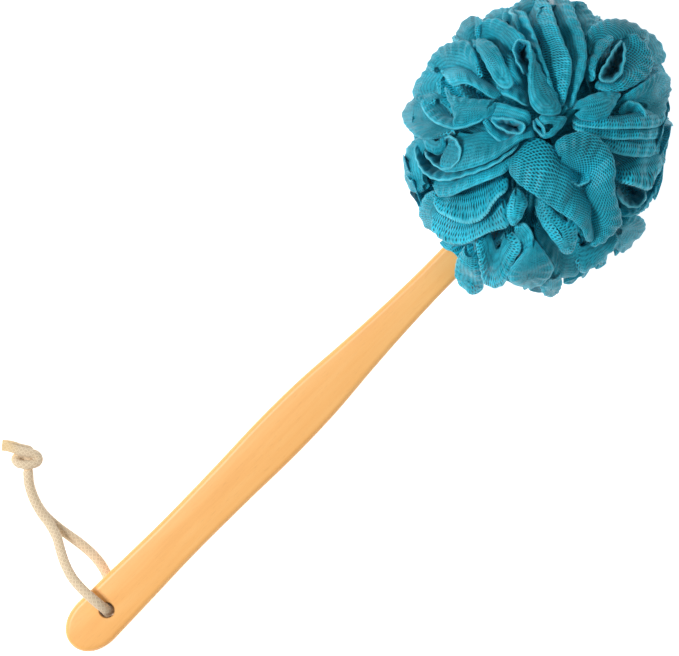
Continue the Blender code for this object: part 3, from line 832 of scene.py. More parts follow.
LEANS = (  # (length of its waves, lean at the rim, how steeply it grows toward the rim)
    (85 * MM, 17 * MM, 2.5),
    (50 * MM, 15 * MM, 5),
)
CRUMPLE_LENGTH = 17 * MM
CRUMPLE_HEIGHT = 1.5 * MM


def comb(points, share, seed):
    """Leans the ruffles over toward their rims, each stretch of the ball its own way."""
    direction = unit(points)
    push = Waves(seed + len(LEANS), CRUMPLE_LENGTH)(points) * CRUMPLE_HEIGHT * share[..., None]
    for k, (length, lean, steepness) in enumerate(LEANS):
        push += Waves(seed + k, length)(direction * RING_RADIUS) * lean * share[..., None] ** steepness
    push -= direction * (push * direction).sum(-1, keepdims=True)
    return unit(points + push) * np.linalg.norm(points, axis=-1, keepdims=True)


# How far the rims sink, as shares of the ball's radius
POLE_SINK = 0.22
POLE_REACH = 11 * MM
PETAL_SINK = 0.20  # under the front petals
PETAL_SINK_FROM = 0.2  # how far up a direction points where that sink starts
PETAL_SINK_RAMP = 0.35  # and how much further up it is whole
CREASE_SINK = 0.10
CREASE_HEADING = math.radians(-21)  # the front ruffles part along this line through their pole
CREASE_WIDTH = 5 * MM
CREASE_REACH = 55 * MM


def sink(direction, pole):
    """How far the rims sink round a pole, under the front petals and along the front crease."""
    _, first, second = pole_axes(pole)
    x, y = (direction @ first) * RING_RADIUS, (direction @ second) * RING_RADIUS
    reach = np.hypot(x, y)
    sunk = POLE_SINK * np.exp(-((reach / POLE_REACH) ** 2))
    if pole[2] > 0:
        sunk += PETAL_SINK * np.clip((direction[..., 2] - PETAL_SINK_FROM) / PETAL_SINK_RAMP, 0, 1)
        off = y * math.cos(CREASE_HEADING) - x * math.sin(CREASE_HEADING)
        sunk += CREASE_SINK * np.exp(-((off / CREASE_WIDTH) ** 2) - (reach / CREASE_REACH) ** 4)
    return sunk


# The petals on the front of the ball, each as (rim, root, bulge, knit). Places are in millimetres as the
# camera sees them, (right, up, lift off the ball), from the point where the front ruffles come together. A
# petal's cloth runs from its rim to its root, whose points answer to the rim's in order, and bulges outward
# between them. Its knit is how much finer its cells are along the rim and down from it.
CLOSE, ALONG, RIBBED, DASHED, OPEN = (1.5, 1.0), (0.42, 2.5), (0.75, 0.45), (0.95, 0.7), (0.75, 0.9)
FRONT_PETALS = {
    "tongue_loop": (
        ((-18.6, 28, 7), (-18.6, 35, 8), (-21.4, 37.4, 8), (-24.8, 37, 8), (-26.4, 33.4, 7), (-25.2, 28.4, 6),
         (-22.8, 24, 4), (-20.6, 20, 3)),
        ((-20.4, 28, -14), (-20.8, 31, -16), (-21.8, 32, -17), (-23, 32, -17), (-23.2, 30.6, -17),
         (-22.8, 28, -16), (-21.6, 25, -14), (-20.4, 22, -11)), 0.3, CLOSE),
    "upper_left_band": (
        ((-43, 40, 1), (-41, 46, 3), (-34, 47, 5), (-27, 43.4, 6), (-21.4, 39, 6), (-18.4, 36, 5)),
        ((-43, 37, -5), (-38, 38, -5), (-34, 36, -5), (-31, 33, -5), (-29, 31, -6), (-28, 28, -8)),
        3.4, CLOSE),
    "outer_left_fan": (
        ((-67, 22, -2), (-66, 28, -1), (-61, 34, -1), (-54, 37, 0), (-48, 37, 1), (-44.6, 31, 2),
         (-43, 25, 2)),
        ((-60, 23, -5), (-58, 24.4, -5), (-54, 24, -5), (-50, 23, -5), (-46, 21, -5), (-43, 19, -5),
         (-40, 17, -6)), 3, CLOSE),
    "left_flap": (
        ((-57, 15, 0), (-50, 17, 3), (-44, 14.6, 4), (-39, 11, 4), (-34.5, 8, 3)),
        ((-60, 24, -5), (-52, 23, -3), (-45, 19, -2), (-39, 15, -2), (-33, 11.6, -2)), 1.6, CLOSE),
    "left_inner_wall": (
        ((-71, 8, -1), (-68.6, 3, 0), (-65, -1, 1), (-60, -3.6, 2), (-54, -5, 2), (-46, -3, 2),
         (-39, 0.6, 1)),
        ((-63, 12, -8), (-61, 7, -9), (-59, 4, -9), (-57, 1, -9), (-53, -2, -6), (-46, 0, -5), (-40, 3, -4)),
        1.2, CLOSE),
    "hanging_lobe": (
        ((-71, -8, -5), (-76, -13, -4), (-78, -20, -4), (-78, -28, -4), (-75, -34, -5), (-70, -35.5, -6)),
        ((-66, -10, -7), (-68, -15, -7), (-69, -20, -7), (-69, -25, -7), (-68.5, -29, -7), (-67, -32, -7)),
        1.5, CLOSE),
    "left_net": (
        ((-65, -34, -4), (-69, -38, -4), (-71, -44, -5), (-68.6, -50, -5), (-64, -54, -6)),
        ((-58, -36, -8), (-59, -40, -8), (-60, -44, -8), (-59, -48, -8), (-57, -52, -8)), 2.4, DASHED),
    "corner_lobe": (
        ((-54, 36, -5), (-53, 42, -4), (-49.4, 48, -3), (-44, 49.6, -3), (-40, 46.6, -3), (-37, 43, -4)),
        ((-46, 32, -9), (-45, 36, -9), (-43.4, 39, -9), (-41, 40, -9), (-38.4, 39, -9), (-36, 37, -9)),
        2, CLOSE),
    "corner_edge": (
        ((-41, 46, -5), (-38, 51, -5), (-33, 53.4, -4), (-28, 53, -4), (-25, 49, -5)),
        ((-35, 40, -9), (-33, 43, -9), (-30.5, 44.6, -9), (-28, 44, -9), (-25, 42, -9)), 2, CLOSE),
    "left_cheek": (
        ((-65, 27, -3), (-70, 21, -4), (-74, 15, -4), (-73, 9, -3), (-68, 6, -2)),
        ((-58, 22, -8), (-60, 19, -8), (-62, 15, -8), (-62, 11, -8), (-60, 8, -8)), 2.4, CLOSE),
    "left_lobe": (
        ((-69, 11, -3), (-75, 9, -3), (-79, 4, -3), (-78.6, -1, -2), (-76, -5, -1), (-71.6, -9, 0),
         (-65, -9.8, 1)),
        ((-66, 8, -6), (-65, 4, -5), (-63, 0, -4), (-60, -3, -3), (-57, -4.6, -3), (-54, -5.4, -3),
         (-50, -6, -4)), 2.4, CLOSE),
    "above_eye": (
        ((-36, 8, 1), (-31, 6.4, 3), (-25, 4.4, 3), (-20, 3, 3), (-17, 0.6, 2)),
        ((-41, -0.4, -2), (-34, 0, 0), (-28, 0, 0), (-23, -1.6, 0), (-19.6, -4, -2)), 1.6, CLOSE),
    "above_eye_fold": (
        ((-35, 12.6, 0), (-28, 10, 2), (-22.6, 7, 2), (-18.6, 4.4, 1)),
        ((-33, 16, -7), (-27, 15, -7), (-22.4, 13, -7), (-20, 9, -7)), 1.4, CLOSE),
    "eye_pocket": (
        ((-39, 0.4, 1), (-33, -0.2, 3), (-27, -0.8, 5), (-22.4, -2.6, 5), (-21.2, -5, 5), (-23.6, -7.4, 5),
         (-28, -7, 4), (-32.5, -5, 3), (-36.5, -2.2, 2), (-39, 0, 1)),
        ((-34, -1.6, -3), (-31, -2, -8), (-27.5, -2.6, -16), (-25.4, -3.4, -22), (-24.6, -4.4, -22),
         (-25, -5.4, -21), (-27, -5, -16), (-30, -4, -9), (-32, -3, -4), (-34, -1.8, -3)), 0.3, CLOSE),
    "under_eye": (
        ((-41, -2.6, 0), (-37, -8, 1), (-31.6, -12, 1), (-25, -11.6, 1), (-19.4, -8, 2), (-16.4, -8.6, 2)),
        ((-39, -1, -3), (-34.6, -5, -4), (-30, -8, -6), (-25, -8.6, -6), (-20.4, -6, -4), (-17.6, -4, -3)),
        1, CLOSE),
    "small_pocket": (
        ((-17, 0.8, 3), (-14, -2, 4), (-11.6, -6, 4), (-12, -8.6, 4), (-15, -6.6, 3), (-17, -3, 3),
         (-17.2, 0.4, 3)),
        ((-15.8, -2, -12), (-14.4, -3.6, -14), (-13.2, -5.8, -14), (-13.4, -6.8, -14), (-14.6, -5.8, -14),
         (-15.6, -4, -14), (-15.8, -2.4, -12)), 0.2, CLOSE),
    "middle_petal": (
        ((-16, 1.4, 2), (-9, 0.8, 3), (-1.6, 0, 2), (-3.4, -3.8, 3), (-7, -7.4, 3), (-11, -9.8, 2),
         (-13.4, -9.4, 1)),
        ((-12, -3, 3), (-9.6, -2.8, 5), (-7, -3, 5), (-7.4, -4.4, 5), (-8.6, -5.6, 5), (-10.4, -7, 4),
         (-12, -7.4, 2)), 0.6, CLOSE),
    "long_band": (
        ((-63, -24.6, 0), (-55, -25.4, 3), (-43, -22.4, 5), (-35, -18.8, 5), (-28, -14, 5), (-22, -10, 4),
         (-15.6, -9.6, 2)),
        ((-52, -8, -4), (-48, -8, -3), (-43, -8, -3), (-38, -8, -3), (-33, -9, -4), (-27, -9, -5),
         (-19, -6, -5)), 3, CLOSE),
    "scroll": (
        ((-60, -8.2, 2), (-55, -9.6, 4), (-52.2, -14, 5), (-52.2, -18.5, 5), (-55, -22.8, 5), (-60, -24.4, 4),
         (-65, -21.5, 2), (-70, -15, 0)),
        ((-59, -10.6, -10), (-56.4, -12, -18), (-55, -15, -20), (-55.2, -18, -20), (-57.5, -20.6, -20),
         (-61, -18.8, -13), (-64, -18, -11), (-67, -15.6, -8)), 0.4, CLOSE),
    "scroll_lining": (
        ((-59.6, -9.6, -2), (-59, -13, -4), (-60, -16, -5), (-63, -17, -4), (-67, -15, -3), (-70, -11, -2)),
        ((-60, -9, -3), (-61, -10, -3), (-62.5, -11, -2), (-63.5, -11, -2), (-65, -10, -2), (-66, -8, -3)),
        1, CLOSE),
    "sweep": (
        ((-74, -13, -2), (-72.4, -20, 0), (-69.5, -25.4, 2), (-65, -28.8, 3), (-58, -29.6, 4),
         (-50, -27.6, 4), (-42, -25, 4), (-35, -21.8, 4), (-29, -17.6, 4), (-23, -12.6, 2)),
        ((-71, -12, -6), (-69.5, -17, -8), (-66.5, -22, -11), (-63, -24, -12), (-58, -24, -11),
         (-51, -23, -9), (-43, -20.5, -8), (-36, -17.5, -7), (-30, -14, -6), (-25, -10, -5)), 0.6, CLOSE),
    "lower_band": (
        ((-64, -37, -1), (-57, -37, 2), (-49, -33.6, 5), (-41, -30.4, 5), (-34, -27.6, 5), (-28.4, -25.2, 4)),
        ((-62, -30, -4), (-55, -29, -3), (-47, -27, -3), (-39, -24, -3), (-33, -21, -3), (-27, -17, -3)),
        1.8, CLOSE),
    "scoop": (
        ((-65, -38, -3), (-62.6, -44, 0), (-58, -47, 2), (-53, -49.4, 4), (-48, -50.2, 4), (-43, -49, 4),
         (-39.6, -46, 4), (-37, -42, 4), (-34, -38, 3), (-28, -34, 1)),
        ((-62, -37, -5), (-58, -37, -7), (-54, -36, -8), (-50, -35, -9), (-46, -33.4, -9), (-43, -32.4, -9),
         (-39, -31, -9), (-36, -30, -9), (-33, -29, -9), (-30, -28, -8)), 1, RIBBED),
    "under_scoop": (
        ((-66, -52, -2), (-59, -58.4, 0), (-50, -60, 2), (-43, -56.6, 3), (-37, -54, 3), (-31, -52.6, 3),
         (-26, -50, 2)),
        ((-62, -44, -6), (-57, -46, -6), (-51, -48, -7), (-45, -48, -7), (-41, -45, -7), (-37.5, -40, -7),
         (-32, -35, -7)), 2.4, RIBBED),
    "bottom_fan": (
        ((-45, -58, 0), (-42.6, -66, 2), (-41.6, -73, 1), (-39.6, -79, 0), (-35, -81, -1), (-30.6, -79, 0),
         (-28.4, -73, 2), (-25.6, -67, 3), (-23, -62, 3), (-24.4, -56, 2)),
        ((-38, -54, -8), (-37, -56, -7), (-36, -59, -5), (-35, -62, -4), (-34, -63, -4), (-32, -62, -4),
         (-31, -60, -5), (-30, -58, -6), (-29, -56, -7), (-28.5, -54, -8)), 3, RIBBED),
    "bottom_wedge": (
        ((-25.6, -50, 1), (-20.6, -51, 2), (-17.4, -56, 3), (-17.4, -59, 3), (-20, -62, 2), (-22.8, -66, 1)),
        ((-24.6, -54, -3), (-24, -56, -2), (-23.6, -58, -2), (-23.2, -60, -3), (-23, -62, -3),
         (-23.6, -65, -4)), 1, CLOSE),
    "low_dark_leaf": (
        ((-17, -55, -4), (-12, -62, -3), (-7.4, -69, -2), (-6, -75, -3), (0, -76, -4), (5, -74, -4),
         (7, -68, -4)),
        ((-14, -50, -10), (-10, -53, -9), (-6, -56, -8), (-4, -59, -8), (-1, -60, -8), (2, -59, -8),
         (4, -56, -9)), 2, CLOSE),
    "bottom_right_fan": (
        ((4, -75, -4), (10, -72, -3), (16, -68, -2), (20.6, -63, -2), (24, -56, -2)),
        ((4, -62, -7), (8, -61, -6), (12, -59, -6), (16, -57, -6), (20, -52, -6)), 2.6, CLOSE),
    "low_right_lobe": (
        ((25, -47, -4), (31, -46, -3), (36.6, -48.6, -3), (37, -53.6, -4), (32, -58.6, -4), (27, -63.6, -5),
         (22, -60, -3)),
        ((23, -49, -6), (24, -50, -4), (25, -51, -4), (25.6, -53, -4), (25, -54.6, -4), (24, -55.6, -4),
         (22, -55, -5)), 2.2, CLOSE),
    "middle_band": (
        ((-29, -25, 3), (-25, -30.4, 6), (-18.6, -35.2, 7), (-13, -38.8, 7), (-8, -42.4, 7), (-3, -45.8, 7),
         (1, -48.2, 7), (5, -51.4, 6), (7.4, -55, 5), (8.6, -60, 2)),
        ((-28, -19, -3), (-24, -15, -3), (-18, -11, -3), (-12, -12, -2), (-7, -16, -1), (-3.4, -21.6, -1),
         (0, -28, -1), (4.6, -34, -2), (7.8, -40, -3), (10, -52, -5)), 4.2, ALONG),
    "right_dome": (
        ((-8, -12.5, 0), (-3, -9.4, 3), (3, -7.4, 5), (9, -7.4, 7), (15, -10.6, 7), (20, -17, 7),
         (21.8, -24, 7), (21.4, -32, 6), (22.6, -39, 5), (24.8, -46, 4), (24.6, -50.6, 3), (20, -54.6, 1),
         (15, -58.4, 0), (10, -61, -1)),
        ((-4, -19, -2), (-2, -22, -3), (0, -24, -5), (2, -25.6, -7), (4, -26.6, -8), (5.4, -27.6, -8),
         (6, -29, -7), (6.4, -31, -5), (7, -34, -3), (8, -38, -3), (9, -42, -3), (9.4, -46, -3),
         (9.6, -50, -3), (9.8, -54, -4)), 4.8, ALONG),
    "dome_navel": (
        ((-3.4, -21, 0), (-2.4, -26, 2), (1, -30.4, 3), (5, -32.2, 3), (9, -30.6, 3), (12, -27.4, 1)),
        ((0.6, -25, -6), (1.4, -26.4, -7), (2.6, -27.4, -7), (4, -27.8, -7), (5.6, -27.4, -6),
         (7.6, -26, -4)), 0.6, OPEN),
    "right_fan_upper": (
        ((1, -3.2, 0), (10, -4.4, 3), (20, -5, 5), (30, -4.6, 6), (38, -4.4, 5), (45, -3.4, 0)),
        ((3, 0, -6), (10, 0, -3), (20, -0.6, -1), (29, 1, 0), (36, 3, 0), (43, 4, -2)), 1.6, DASHED),
    "right_fan_middle": (
        ((1, -5, -1), (10, -8, 2), (20, -10, 4), (30, -9.8, 5), (38, -9.6, 4), (45, -9, 0)),
        ((3, -3, -6), (11, -4, -3), (20, -4.6, -1), (30, -4.2, 0), (38, -4, -1), (44, -3.4, -4)),
        1.4, DASHED),
    "right_fan_lower": (
        ((9, -8, -2), (14, -11.4, 1), (21, -16, 3), (30, -18, 4), (38, -18, 3), (45, -16, -1)),
        ((9, -6, -7), (14, -8.4, -4), (21, -9.6, -2), (30, -9.4, -1), (38, -9.2, -2), (44, -8.6, -5)),
        1.6, DASHED),
    "right_wedge": (
        ((24, 9.4, 1), (31, 13.6, 4), (38, 18.4, 4), (44, 22.4, 1), (49, 21, -2), (49, 14, -2), (47, 8, -1),
         (46.4, 2, -1), (46, -4, -1)),
        ((25, 6, -5), (29, 7, -3), (32, 8, -1), (35, 8, 0), (37, 7, 0), (37, 5, 0), (36, 3.4, 0),
         (35, 1.6, 0), (34, -1, 0)), 3, CLOSE),
    "right_swirl": (
        ((24.4, 5.6, 1), (29, 8, 4), (34.4, 6.4, 5), (37, 2, 5), (35.6, -2.8, 5), (30, -4.4, 4)),
        ((24, 2, -3), (26.6, 3.4, -5), (28.6, 3, -6), (29.6, 1, -6), (29, -1, -6), (27, -2.4, -4)),
        0.8, CLOSE),
    "cone_pocket": (
        ((26.8, 39, 2), (22.4, 33.6, 5), (18.6, 27, 6), (15, 21, 6), (16.4, 17.8, 6), (20.6, 17.6, 6),
         (24.8, 21, 6), (26.6, 27, 5), (27, 33, 4), (26.8, 38.6, 2)),
        ((24.6, 33, -12), (22.6, 29.6, -16), (20.4, 26, -20), (18.8, 23, -20), (19, 21.6, -20),
         (20.6, 21.6, -20), (22.4, 23.4, -20), (23.6, 26.6, -18), (24.4, 30, -16), (24.8, 33, -12)),
        0.2, CLOSE),
    "collar_left": (
        ((13, 16.6, 3), (12.4, 22, 5), (14, 28, 5), (17.6, 33.6, 5), (23, 39.6, 3)),
        ((7, 19, -5), (8, 25, -4), (9.6, 30, -4), (12, 35, -4), (16, 40, -4)), 1.4, ALONG),
    "collar_right": (
        ((28, 42, 1), (35, 38, 3), (40, 31, 3), (39.6, 23, 3), (33, 17, 4), (24, 13.2, 4), (14, 13.2, 2)),
        ((26, 36, -4), (27.6, 32, -2), (27.6, 27, -1), (26, 22, -1), (22, 18.6, -1), (18, 17, -2),
         (12.6, 16, -4)), 2.6, ALONG),
    "collar_upper": (
        ((8, 37, 0), (11, 43.6, 2), (17, 47, 1), (24, 47.6, 0), (31, 45.6, -1), (36.6, 41.6, -1),
         (41, 35, -1)),
        ((9.6, 27, -6), (12, 31, -4), (15.4, 34, -2), (19, 36.6, -1), (23, 38.6, -1), (28, 39, -1),
         (32, 36, -1)), 3, ALONG),
    "upper_right_lobe": (
        ((34, 45, -5), (40, 41, -5), (45.4, 35.6, -5), (47, 29, -5), (42, 26, -4)),
        ((33, 38, -7), (36, 36, -6), (38, 33, -6), (39, 30, -6), (38, 27, -6)), 2, CLOSE),
    "top_ridge_left": (
        ((-4, 4.6, 0), (-7, 12, 3), (-9.6, 20, 4), (-12.4, 28, 4), (-14.6, 35, 4), (-18, 44, 3),
         (-21, 52, 0)),
        ((-8, 8, -6), (-12, 15, -6), (-15.4, 23, -6), (-18, 31, -6), (-21, 38, -7), (-25, 44, -7),
         (-28, 49, -7)), 2.6, CLOSE),
    "top_net": (
        ((-2.4, 4.4, 0), (-1.2, 12, 3), (0.8, 20, 4), (0.8, 28, 5), (-2.4, 36, 4), (-6, 46, 3), (-9, 57, -1)),
        ((-4.6, 7, -6), (-7, 13, -5), (-9, 20, -4), (-11, 27, -4), (-12, 34, -5), (-15, 43, -6),
         (-19, 54, -7)), 2.6, DASHED),
    "top_ridge_right": (
        ((1.4, 3, -1), (3.6, 12, 2), (6.8, 20, 4), (8.4, 30, 4), (7.4, 39, 3), (4, 48, 0), (1, 58, -2)),
        ((-1, 6, -7), (-0.4, 14, -5), (1, 22, -4), (1.6, 30, -4), (-0.6, 38, -5), (-4, 46, -5), (-8, 56, -6)),
        2.4, CLOSE),
    "top_corner": (
        ((3, 57, -4), (8, 54, -4), (13, 49, -4), (13, 44, -3), (9, 38, -2)),
        ((0, 52, -8), (3, 49, -7), (6, 45, -6), (7, 41, -6), (6, 36, -7)), 2, CLOSE),
    "top_left_lobe": (
        ((-33, 49, -4), (-28, 53, -4), (-22, 57, -4), (-15, 59, -4), (-9, 58, -4)),
        ((-28, 44, -8), (-24, 46, -8), (-20, 49, -8), (-15, 51, -8), (-10, 52, -8)), 2.2, CLOSE),
    "right_cheek": (
        ((21.6, -30.6, 1), (28, -31.4, 7), (33, -32.6, 7), (38.4, -34, 5), (41, -29, 2), (44, -23, 0),
         (45.4, -17, -2)),
        ((22, -23, -5), (25, -22, -3), (28.6, -20.6, -1), (32, -19, 0), (35.6, -18, 0), (39, -17, -1),
         (42, -15, -3)), 2.8, RIBBED),
    "right_cup": (
        ((21.6, -34, 1), (24.6, -39, 4), (29, -42.2, 4), (34, -42, 4), (36.8, -38.4, 4), (38.4, -34, 3)),
        ((24, -33.6, -14), (26, -36, -17), (29, -37.4, -18), (32, -37.4, -18), (34, -36, -17),
         (35, -34, -14)), 0.4, CLOSE),
    "under_cup": (
        ((24.4, -47.6, -2), (30, -46.4, -1), (35.6, -44, -2), (40, -38, -4), (44, -30, -5)),
        ((24, -42, -8), (29, -41.6, -9), (33, -41, -9), (36.4, -37, -9), (40, -30, -9)), 1.4, CLOSE),
}
# Petals whose cloth closes over a spine instead: (rim, spine, bulge, knit)
FRONT_LEAVES = {
    "long_tongue": (
        ((-18.6, 34, 6), (-18.6, 26, 7), (-19.2, 18, 7), (-18.8, 10, 6), (-17, 5, 5), (-13, 2, 5),
         (-8, 1.6, 5), (-4.2, 3, 4), (-5.4, 8, 3), (-8.6, 14, 3), (-12.4, 21, 3), (-16, 28, 3), (-18, 34, 3)),
        ((-17.6, 30, 5), (-17, 22, 7), (-14.5, 12, 7), (-10, 6.5, 6)), 0.8, CLOSE),
    "left_tongue": (
        ((-46, 37, 0), (-41, 38, 3), (-36, 35.4, 6), (-33, 31, 6), (-30.4, 25, 6), (-27.4, 20, 6),
         (-27, 16.4, 5), (-29.6, 14.2, 5), (-33.6, 16, 5), (-37, 21, 5), (-39.6, 26, 4), (-42.6, 32, 2),
         (-46, 36, 0)),
        ((-43.5, 35.6, 4), (-38, 30, 8), (-34, 24, 7), (-31, 19, -2)), 0.8, CLOSE),
    "left_leaf": (
        ((-36, 8.4, 3), (-42, 8.6, 3), (-49, 9.2, 2), (-55, 10.6, 2), (-58.8, 15, 0), (-57.6, 10, 1),
         (-55.4, 5, 3), (-54.8, 0, 3), (-54.4, -4, 1), (-48, -3.4, 0), (-42, -1, 0), (-36.4, 2.4, 2),
         (-35.4, 7.4, 3)),
        ((-38, 4, 4), (-48, 4, 5), (-52, 3, 4)), 0.8, CLOSE),
    "small_leaf": (
        ((-25.6, -33.6, 1), (-28, -39, 3), (-29.4, -45, 4), (-27.6, -51, 4), (-24.4, -49.6, 4),
         (-21.8, -45, 4), (-20.2, -40.6, 3), (-22, -36.5, 2), (-25, -33.8, 1)),
        ((-25, -37, 4), (-26, -42, 6), (-26, -47, 5)), 0.5, DASHED),
    "bottom_leaf": (
        ((-16.8, -58.4, 2), (-20.6, -63.6, 4), (-25, -69, 4), (-28.8, -74.6, 2), (-26, -79, 0),
         (-19, -81, -1), (-12, -79, 0), (-7.4, -72.6, 2), (-9.6, -67.4, 3), (-13.6, -62, 3),
         (-16.4, -58.6, 2)),
        ((-17, -62, 4), (-19, -68, 6), (-19, -74, 4)), 0.7, CLOSE),
    "neck_lobe": (
        ((-49, -61, -2), (-53, -68, -1), (-53.4, -75, -2), (-50, -81, -4), (-44, -84, -5), (-40.6, -80, -4),
         (-41.6, -71, -2), (-44, -63, -2)),
        ((-47, -65, 1), (-47.4, -71, 1), (-47, -77, -1)), 0.8, DASHED),
    "bottom_tab": (
        ((-9, -72, -3), (-13, -79, -3), (-10, -85, -5), (-5, -84, -5), (-3, -79, -3), (-4, -74, -3)),
        ((-8, -75, -1), (-8, -81, -2)), 0.5, CLOSE),
    "finger": (
        ((-15, -36, 1), (-10, -41.6, 4), (-5.6, -46.6, 4), (-1, -50, 4), (2.2, -48.6, 3), (3.8, -53, 5),
         (3.4, -59, 5), (1.6, -63.8, 5), (-1.8, -64.8, 4), (-5, -61, 3), (-9.4, -55.6, 2), (-13.6, -49, 1),
         (-16, -42, 0)),
        ((-14.4, -40, 2), (-8.6, -48, 5), (-3.4, -55, 6), (-1.4, -60, 5)), 0.5, OPEN),
    "pillow": (
        ((2.2, 4.4, 0), (4.6, 7.6, 1), (9, 10, 3), (14, 11.8, 3), (20, 12.4, 3), (24.4, 11.6, 2),
         (22.6, 8, 3), (20.4, 3.8, 3), (17.4, 0.2, 3), (12, -1.1, 3), (6.4, -0.4, 2), (3, 2, 0)),
        ((5.5, 4, 4), (12, 5.4, 7), (19, 7.6, 6)), 0.8, CLOSE),
}
FRONT_MIDDLE = (18.2 * MM, -0.8 * MM)  # where the front ruffles come together, from the ball's middle
FURTHEST_OUT = 0.997  # of the way from the ball's middle to its outline
PETAL_LAYER = np.array((0.0, 0.04, 0.10, 0.18, 0.28, 0.40, 0.52, 0.64, 0.76, 0.88, 1.0))
PETAL_STEP = 0.8 * RIM_STEP
SPINE_SOFTNESS = 1.2 * MM  # how much further the next points of a spine may be and still draw the cloth
ROUND_ENDS = 5 * MM  # of a petal's rim
END_HEIGHT = 0.35  # of the rim's ends over the root, as a share of the given height
PETAL_WAVE_LENGTH = 6.1 * MM
PETAL_WAVE_HEIGHT = 0.45 * MM
PETAL_WAVE_DRIFT = 17 * MM
PETAL_CRUMPLE_LENGTH = 12 * MM
PETAL_CRUMPLE_HEIGHT = 0.9 * MM
PETAL_GAP = 1.1 * MM  # between the two layers at the root, each way


def on_front(places):
    """Points given as the camera sees them, laid on the ball's front."""
    right, up, lift = np.asarray(places, float).T * MM
    cos, sin = math.cos(CAMERA_TURN), math.sin(CAMERA_TURN)
    x = FRONT_MIDDLE[0] + right * cos - up * sin
    y = FRONT_MIDDLE[1] + right * sin + up * cos
    wide = ball_radius(unit(np.column_stack([x, y, np.zeros(len(x))])))
    out = np.minimum(np.hypot(x, y) / (wide + lift), FURTHEST_OUT)
    return np.column_stack([x, y, (BALL_HALF_HEIGHT + lift) * np.sqrt(1 - out**2)])


def petal_sheet(rim_places, root_places, bulge, knit, seed, spine=False):
    """A folded sheet between a rim and a root: its rows of points, their places in the cloth, its length."""
    rim, length = smooth_points(on_front(rim_places), PETAL_STEP)
    root, _ = smooth_points(on_front(root_places), PETAL_STEP)
    at = np.linspace(0, 1, len(rim))
    if spine:
        apart = np.linalg.norm(rim[:, None] - root[None], axis=-1)
        nearest = np.exp(-((apart - apart.min(1, keepdims=True)) / SPINE_SOFTNESS))
        root = nearest @ root / nearest.sum(1, keepdims=True)
    else:
        root = np.stack([np.interp(at, np.linspace(0, 1, len(root)), root[:, k]) for k in range(3)], 1)
        from_end = np.clip(np.minimum(at, 1 - at) * length / ROUND_ENDS, 0, 1)
        rise = END_HEIGHT + (1 - END_HEIGHT) * np.sqrt(from_end * (2 - from_end))
        rim = root + (rim - root) * rise[:, None]
    far = at * length
    share = PETAL_LAYER[None, :, None]
    middle = rim[:, None, :] * (1 - share) + root[:, None, :] * share
    outward = unit(middle)
    middle = middle + outward * (4 * share * (1 - share)) ** 0.8 * bulge * MM
    along = unit(np.gradient(middle, axis=0))
    inward = unit(np.gradient(middle, axis=1))
    normal = unit(np.cross(along, inward))
    normal *= np.sign((normal * outward).sum(-1, keepdims=True).mean() + 1e-9)
    wave = np.sin(far / PETAL_WAVE_LENGTH * 2 * math.pi + 3 * np.sin(far / PETAL_WAVE_DRIFT) + seed)
    ripple = PETAL_WAVE_HEIGHT * wave[:, None, None] * np.sin(math.pi * np.minimum(share * 1.4 + 0.12, 1))
    crumple = Waves(seed + 60, PETAL_CRUMPLE_LENGTH)(middle)[..., :1] * PETAL_CRUMPLE_HEIGHT * np.sqrt(share)
    middle = middle + normal * (ripple + crumple)
    gap = RIM_RADIUS + PETAL_GAP * np.sqrt(share)
    turns = FOLD_TURNS[None, 1:-1, None]
    fold = middle[:, :1] + RIM_RADIUS * (normal[:, :1] * np.sin(turns) - inward[:, :1] * np.cos(turns))
    points = np.concatenate([(middle - normal * gap)[:, ::-1], fold, middle + normal * gap], axis=1)
    depth = np.linalg.norm(rim - root, axis=1).mean() * PETAL_LAYER + RIM_RADIUS
    depth_place = np.concatenate([-depth[::-1], turns.ravel() * RIM_RADIUS, depth])
    places = np.stack(np.broadcast_arrays(far[:, None], depth_place), -1) * knit
    return points, places, length


LINING_SIZE = 0.70  # of the ball's radius, at the top and the bottom; the next three are such shares too
LINING_SWELL = 0.12  # how much wider it is round the sides
LINING_PLEAT_HEIGHT = 0.06
LINING_CRUMPLE = 0.04
LINING_CRUMPLE_LENGTH = 12 * MM
LINING_PLEATS = 34
LINING_GRID = (281, 41)  # points round it and up it
LINING_RISE = 1.45  # how far up and down it reaches, in radians
LINING_CLOTH = 60 * MM  # of cloth to a radian


def lining_sheet():
    """The netting behind the petals: a crumpled, pleated layer that fills the ball and has no rim."""
    turns = np.linspace(0, 2 * math.pi, LINING_GRID[0])
    rises = np.linspace(-LINING_RISE, LINING_RISE, LINING_GRID[1])
    turn, rise = np.meshgrid(turns, rises, indexing="ij")
    direction = np.stack([np.cos(rise) * np.cos(turn), np.cos(rise) * np.sin(turn), np.sin(rise)], -1)
    pleat = np.sin(LINING_PLEATS * turn + 3 * np.sin(3 * turn) + 2.5 * np.sin(2 * rise))
    share = LINING_SIZE + (LINING_SWELL + LINING_PLEAT_HEIGHT * pleat) * np.cos(rise) ** 2
    share += LINING_CRUMPLE * Waves(3, LINING_CRUMPLE_LENGTH)(direction * RING_RADIUS)[..., 0]
    points = direction * (ball_radius(direction) * share)[..., None]
    return points, np.stack([turn, rise], -1) * LINING_CLOTH, 0.0


OUTLINE_SOFTNESS = 0.05  # of the radius, over which the netting is drawn in


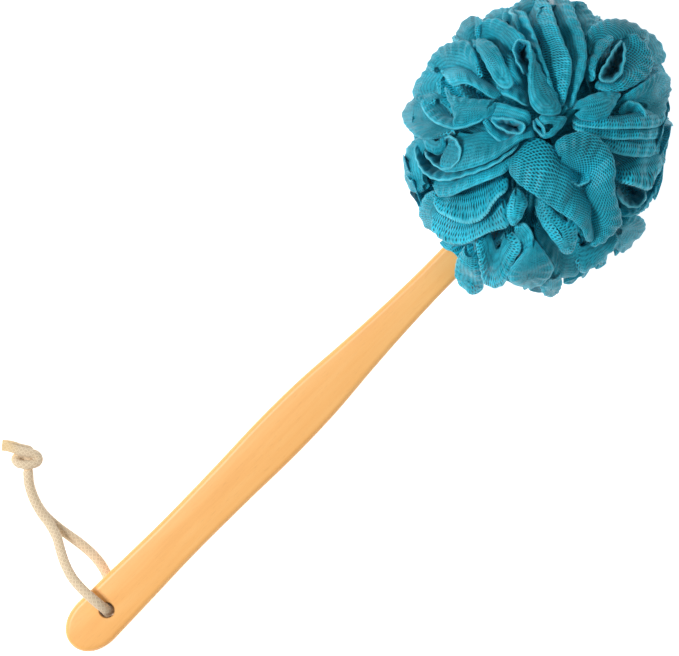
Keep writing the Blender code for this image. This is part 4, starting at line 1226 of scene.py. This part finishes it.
def within_outline(points):
    """Draws in what stands out past the ball's outline as seen from above."""
    level = points * (1, 1, 0)
    far = np.linalg.norm(level, axis=-1, keepdims=True) / ball_radius(unit(level))[..., None]
    kept = far - OUTLINE_SOFTNESS * np.log1p(np.exp((far - 1) / OUTLINE_SOFTNESS))
    return points * np.where([True, True, False], kept / np.maximum(far, 1e-6), 1.0)


def ring_sheet(ring, pole, neck, clear, draw, seed):
    """One ring of ruffles: its rows of points, their places in the cloth, the length of its rim."""
    rim = ruffle_rim(ring, neck, clear, draw)
    points, places, share = ruffle_sheet(pole, rim, seed)
    inside = np.clip(share, 0, 1)
    points = points * (1 - sink(unit(points), pole) * inside)[..., None]
    points = comb(points, np.clip(share, 0, 1.05), seed)
    points = points + (1 - inside[..., None] ** 2) * pole * (1, 1, 0) * CORE_SHIFT
    return within_outline(points), places, places[-1, 0, 0]


def front_sheets():
    """The petals on the ball's front and the lining behind them."""
    sheets = [petal_sheet(*petal, number) for number, petal in enumerate(FRONT_PETALS.values())]
    sheets += [petal_sheet(*leaf, number, spine=True) for number, leaf in enumerate(FRONT_LEAVES.values())]
    return sheets + [lining_sheet()]


def add_netting(place, sheets, seed):
    """Joins sheets into the one piece that stands for the sleeve at a place in the ball."""
    points, faces, places = [], [], []
    for rows, spots, _ in sheets:
        faces += grid_faces(*rows.shape[:2], start=sum(map(len, points)))
        points.append(rows.reshape(-1, 3) + np.array(BALL_CENTRE))
        places.append(spots.reshape(-1, 2))
    laid = rest_on_floor(make_room_for_handle(np.vstack(points)))
    netting = netting_material(f"netting_{place}", seed)
    sheet = mesh_object(f"ruffle_{place}", laid, faces, netting, np.vstack(places))
    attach(sheet, "scrubber")
    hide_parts(f"netting_sleeve_{place}")


def add_ball():
    for side, pole, neck, clear, seed in SIDES:
        draw = np.random.default_rng(seed)
        for k, ring in enumerate(RINGS):
            sheets = [ring_sheet(ring, pole, neck, clear, draw, seed)]
            if (side, k) == ("front", 0):
                sheets += front_sheets()
            add_netting(f"{side}_{k + 1}", sheets, k)


def main():
    add_camera()
    add_studio()
    cotton = cotton_material()
    add_cord(add_knot(cotton), cotton)
    dress_binding()
    add_handle(wood_material())
    add_ball()


main()
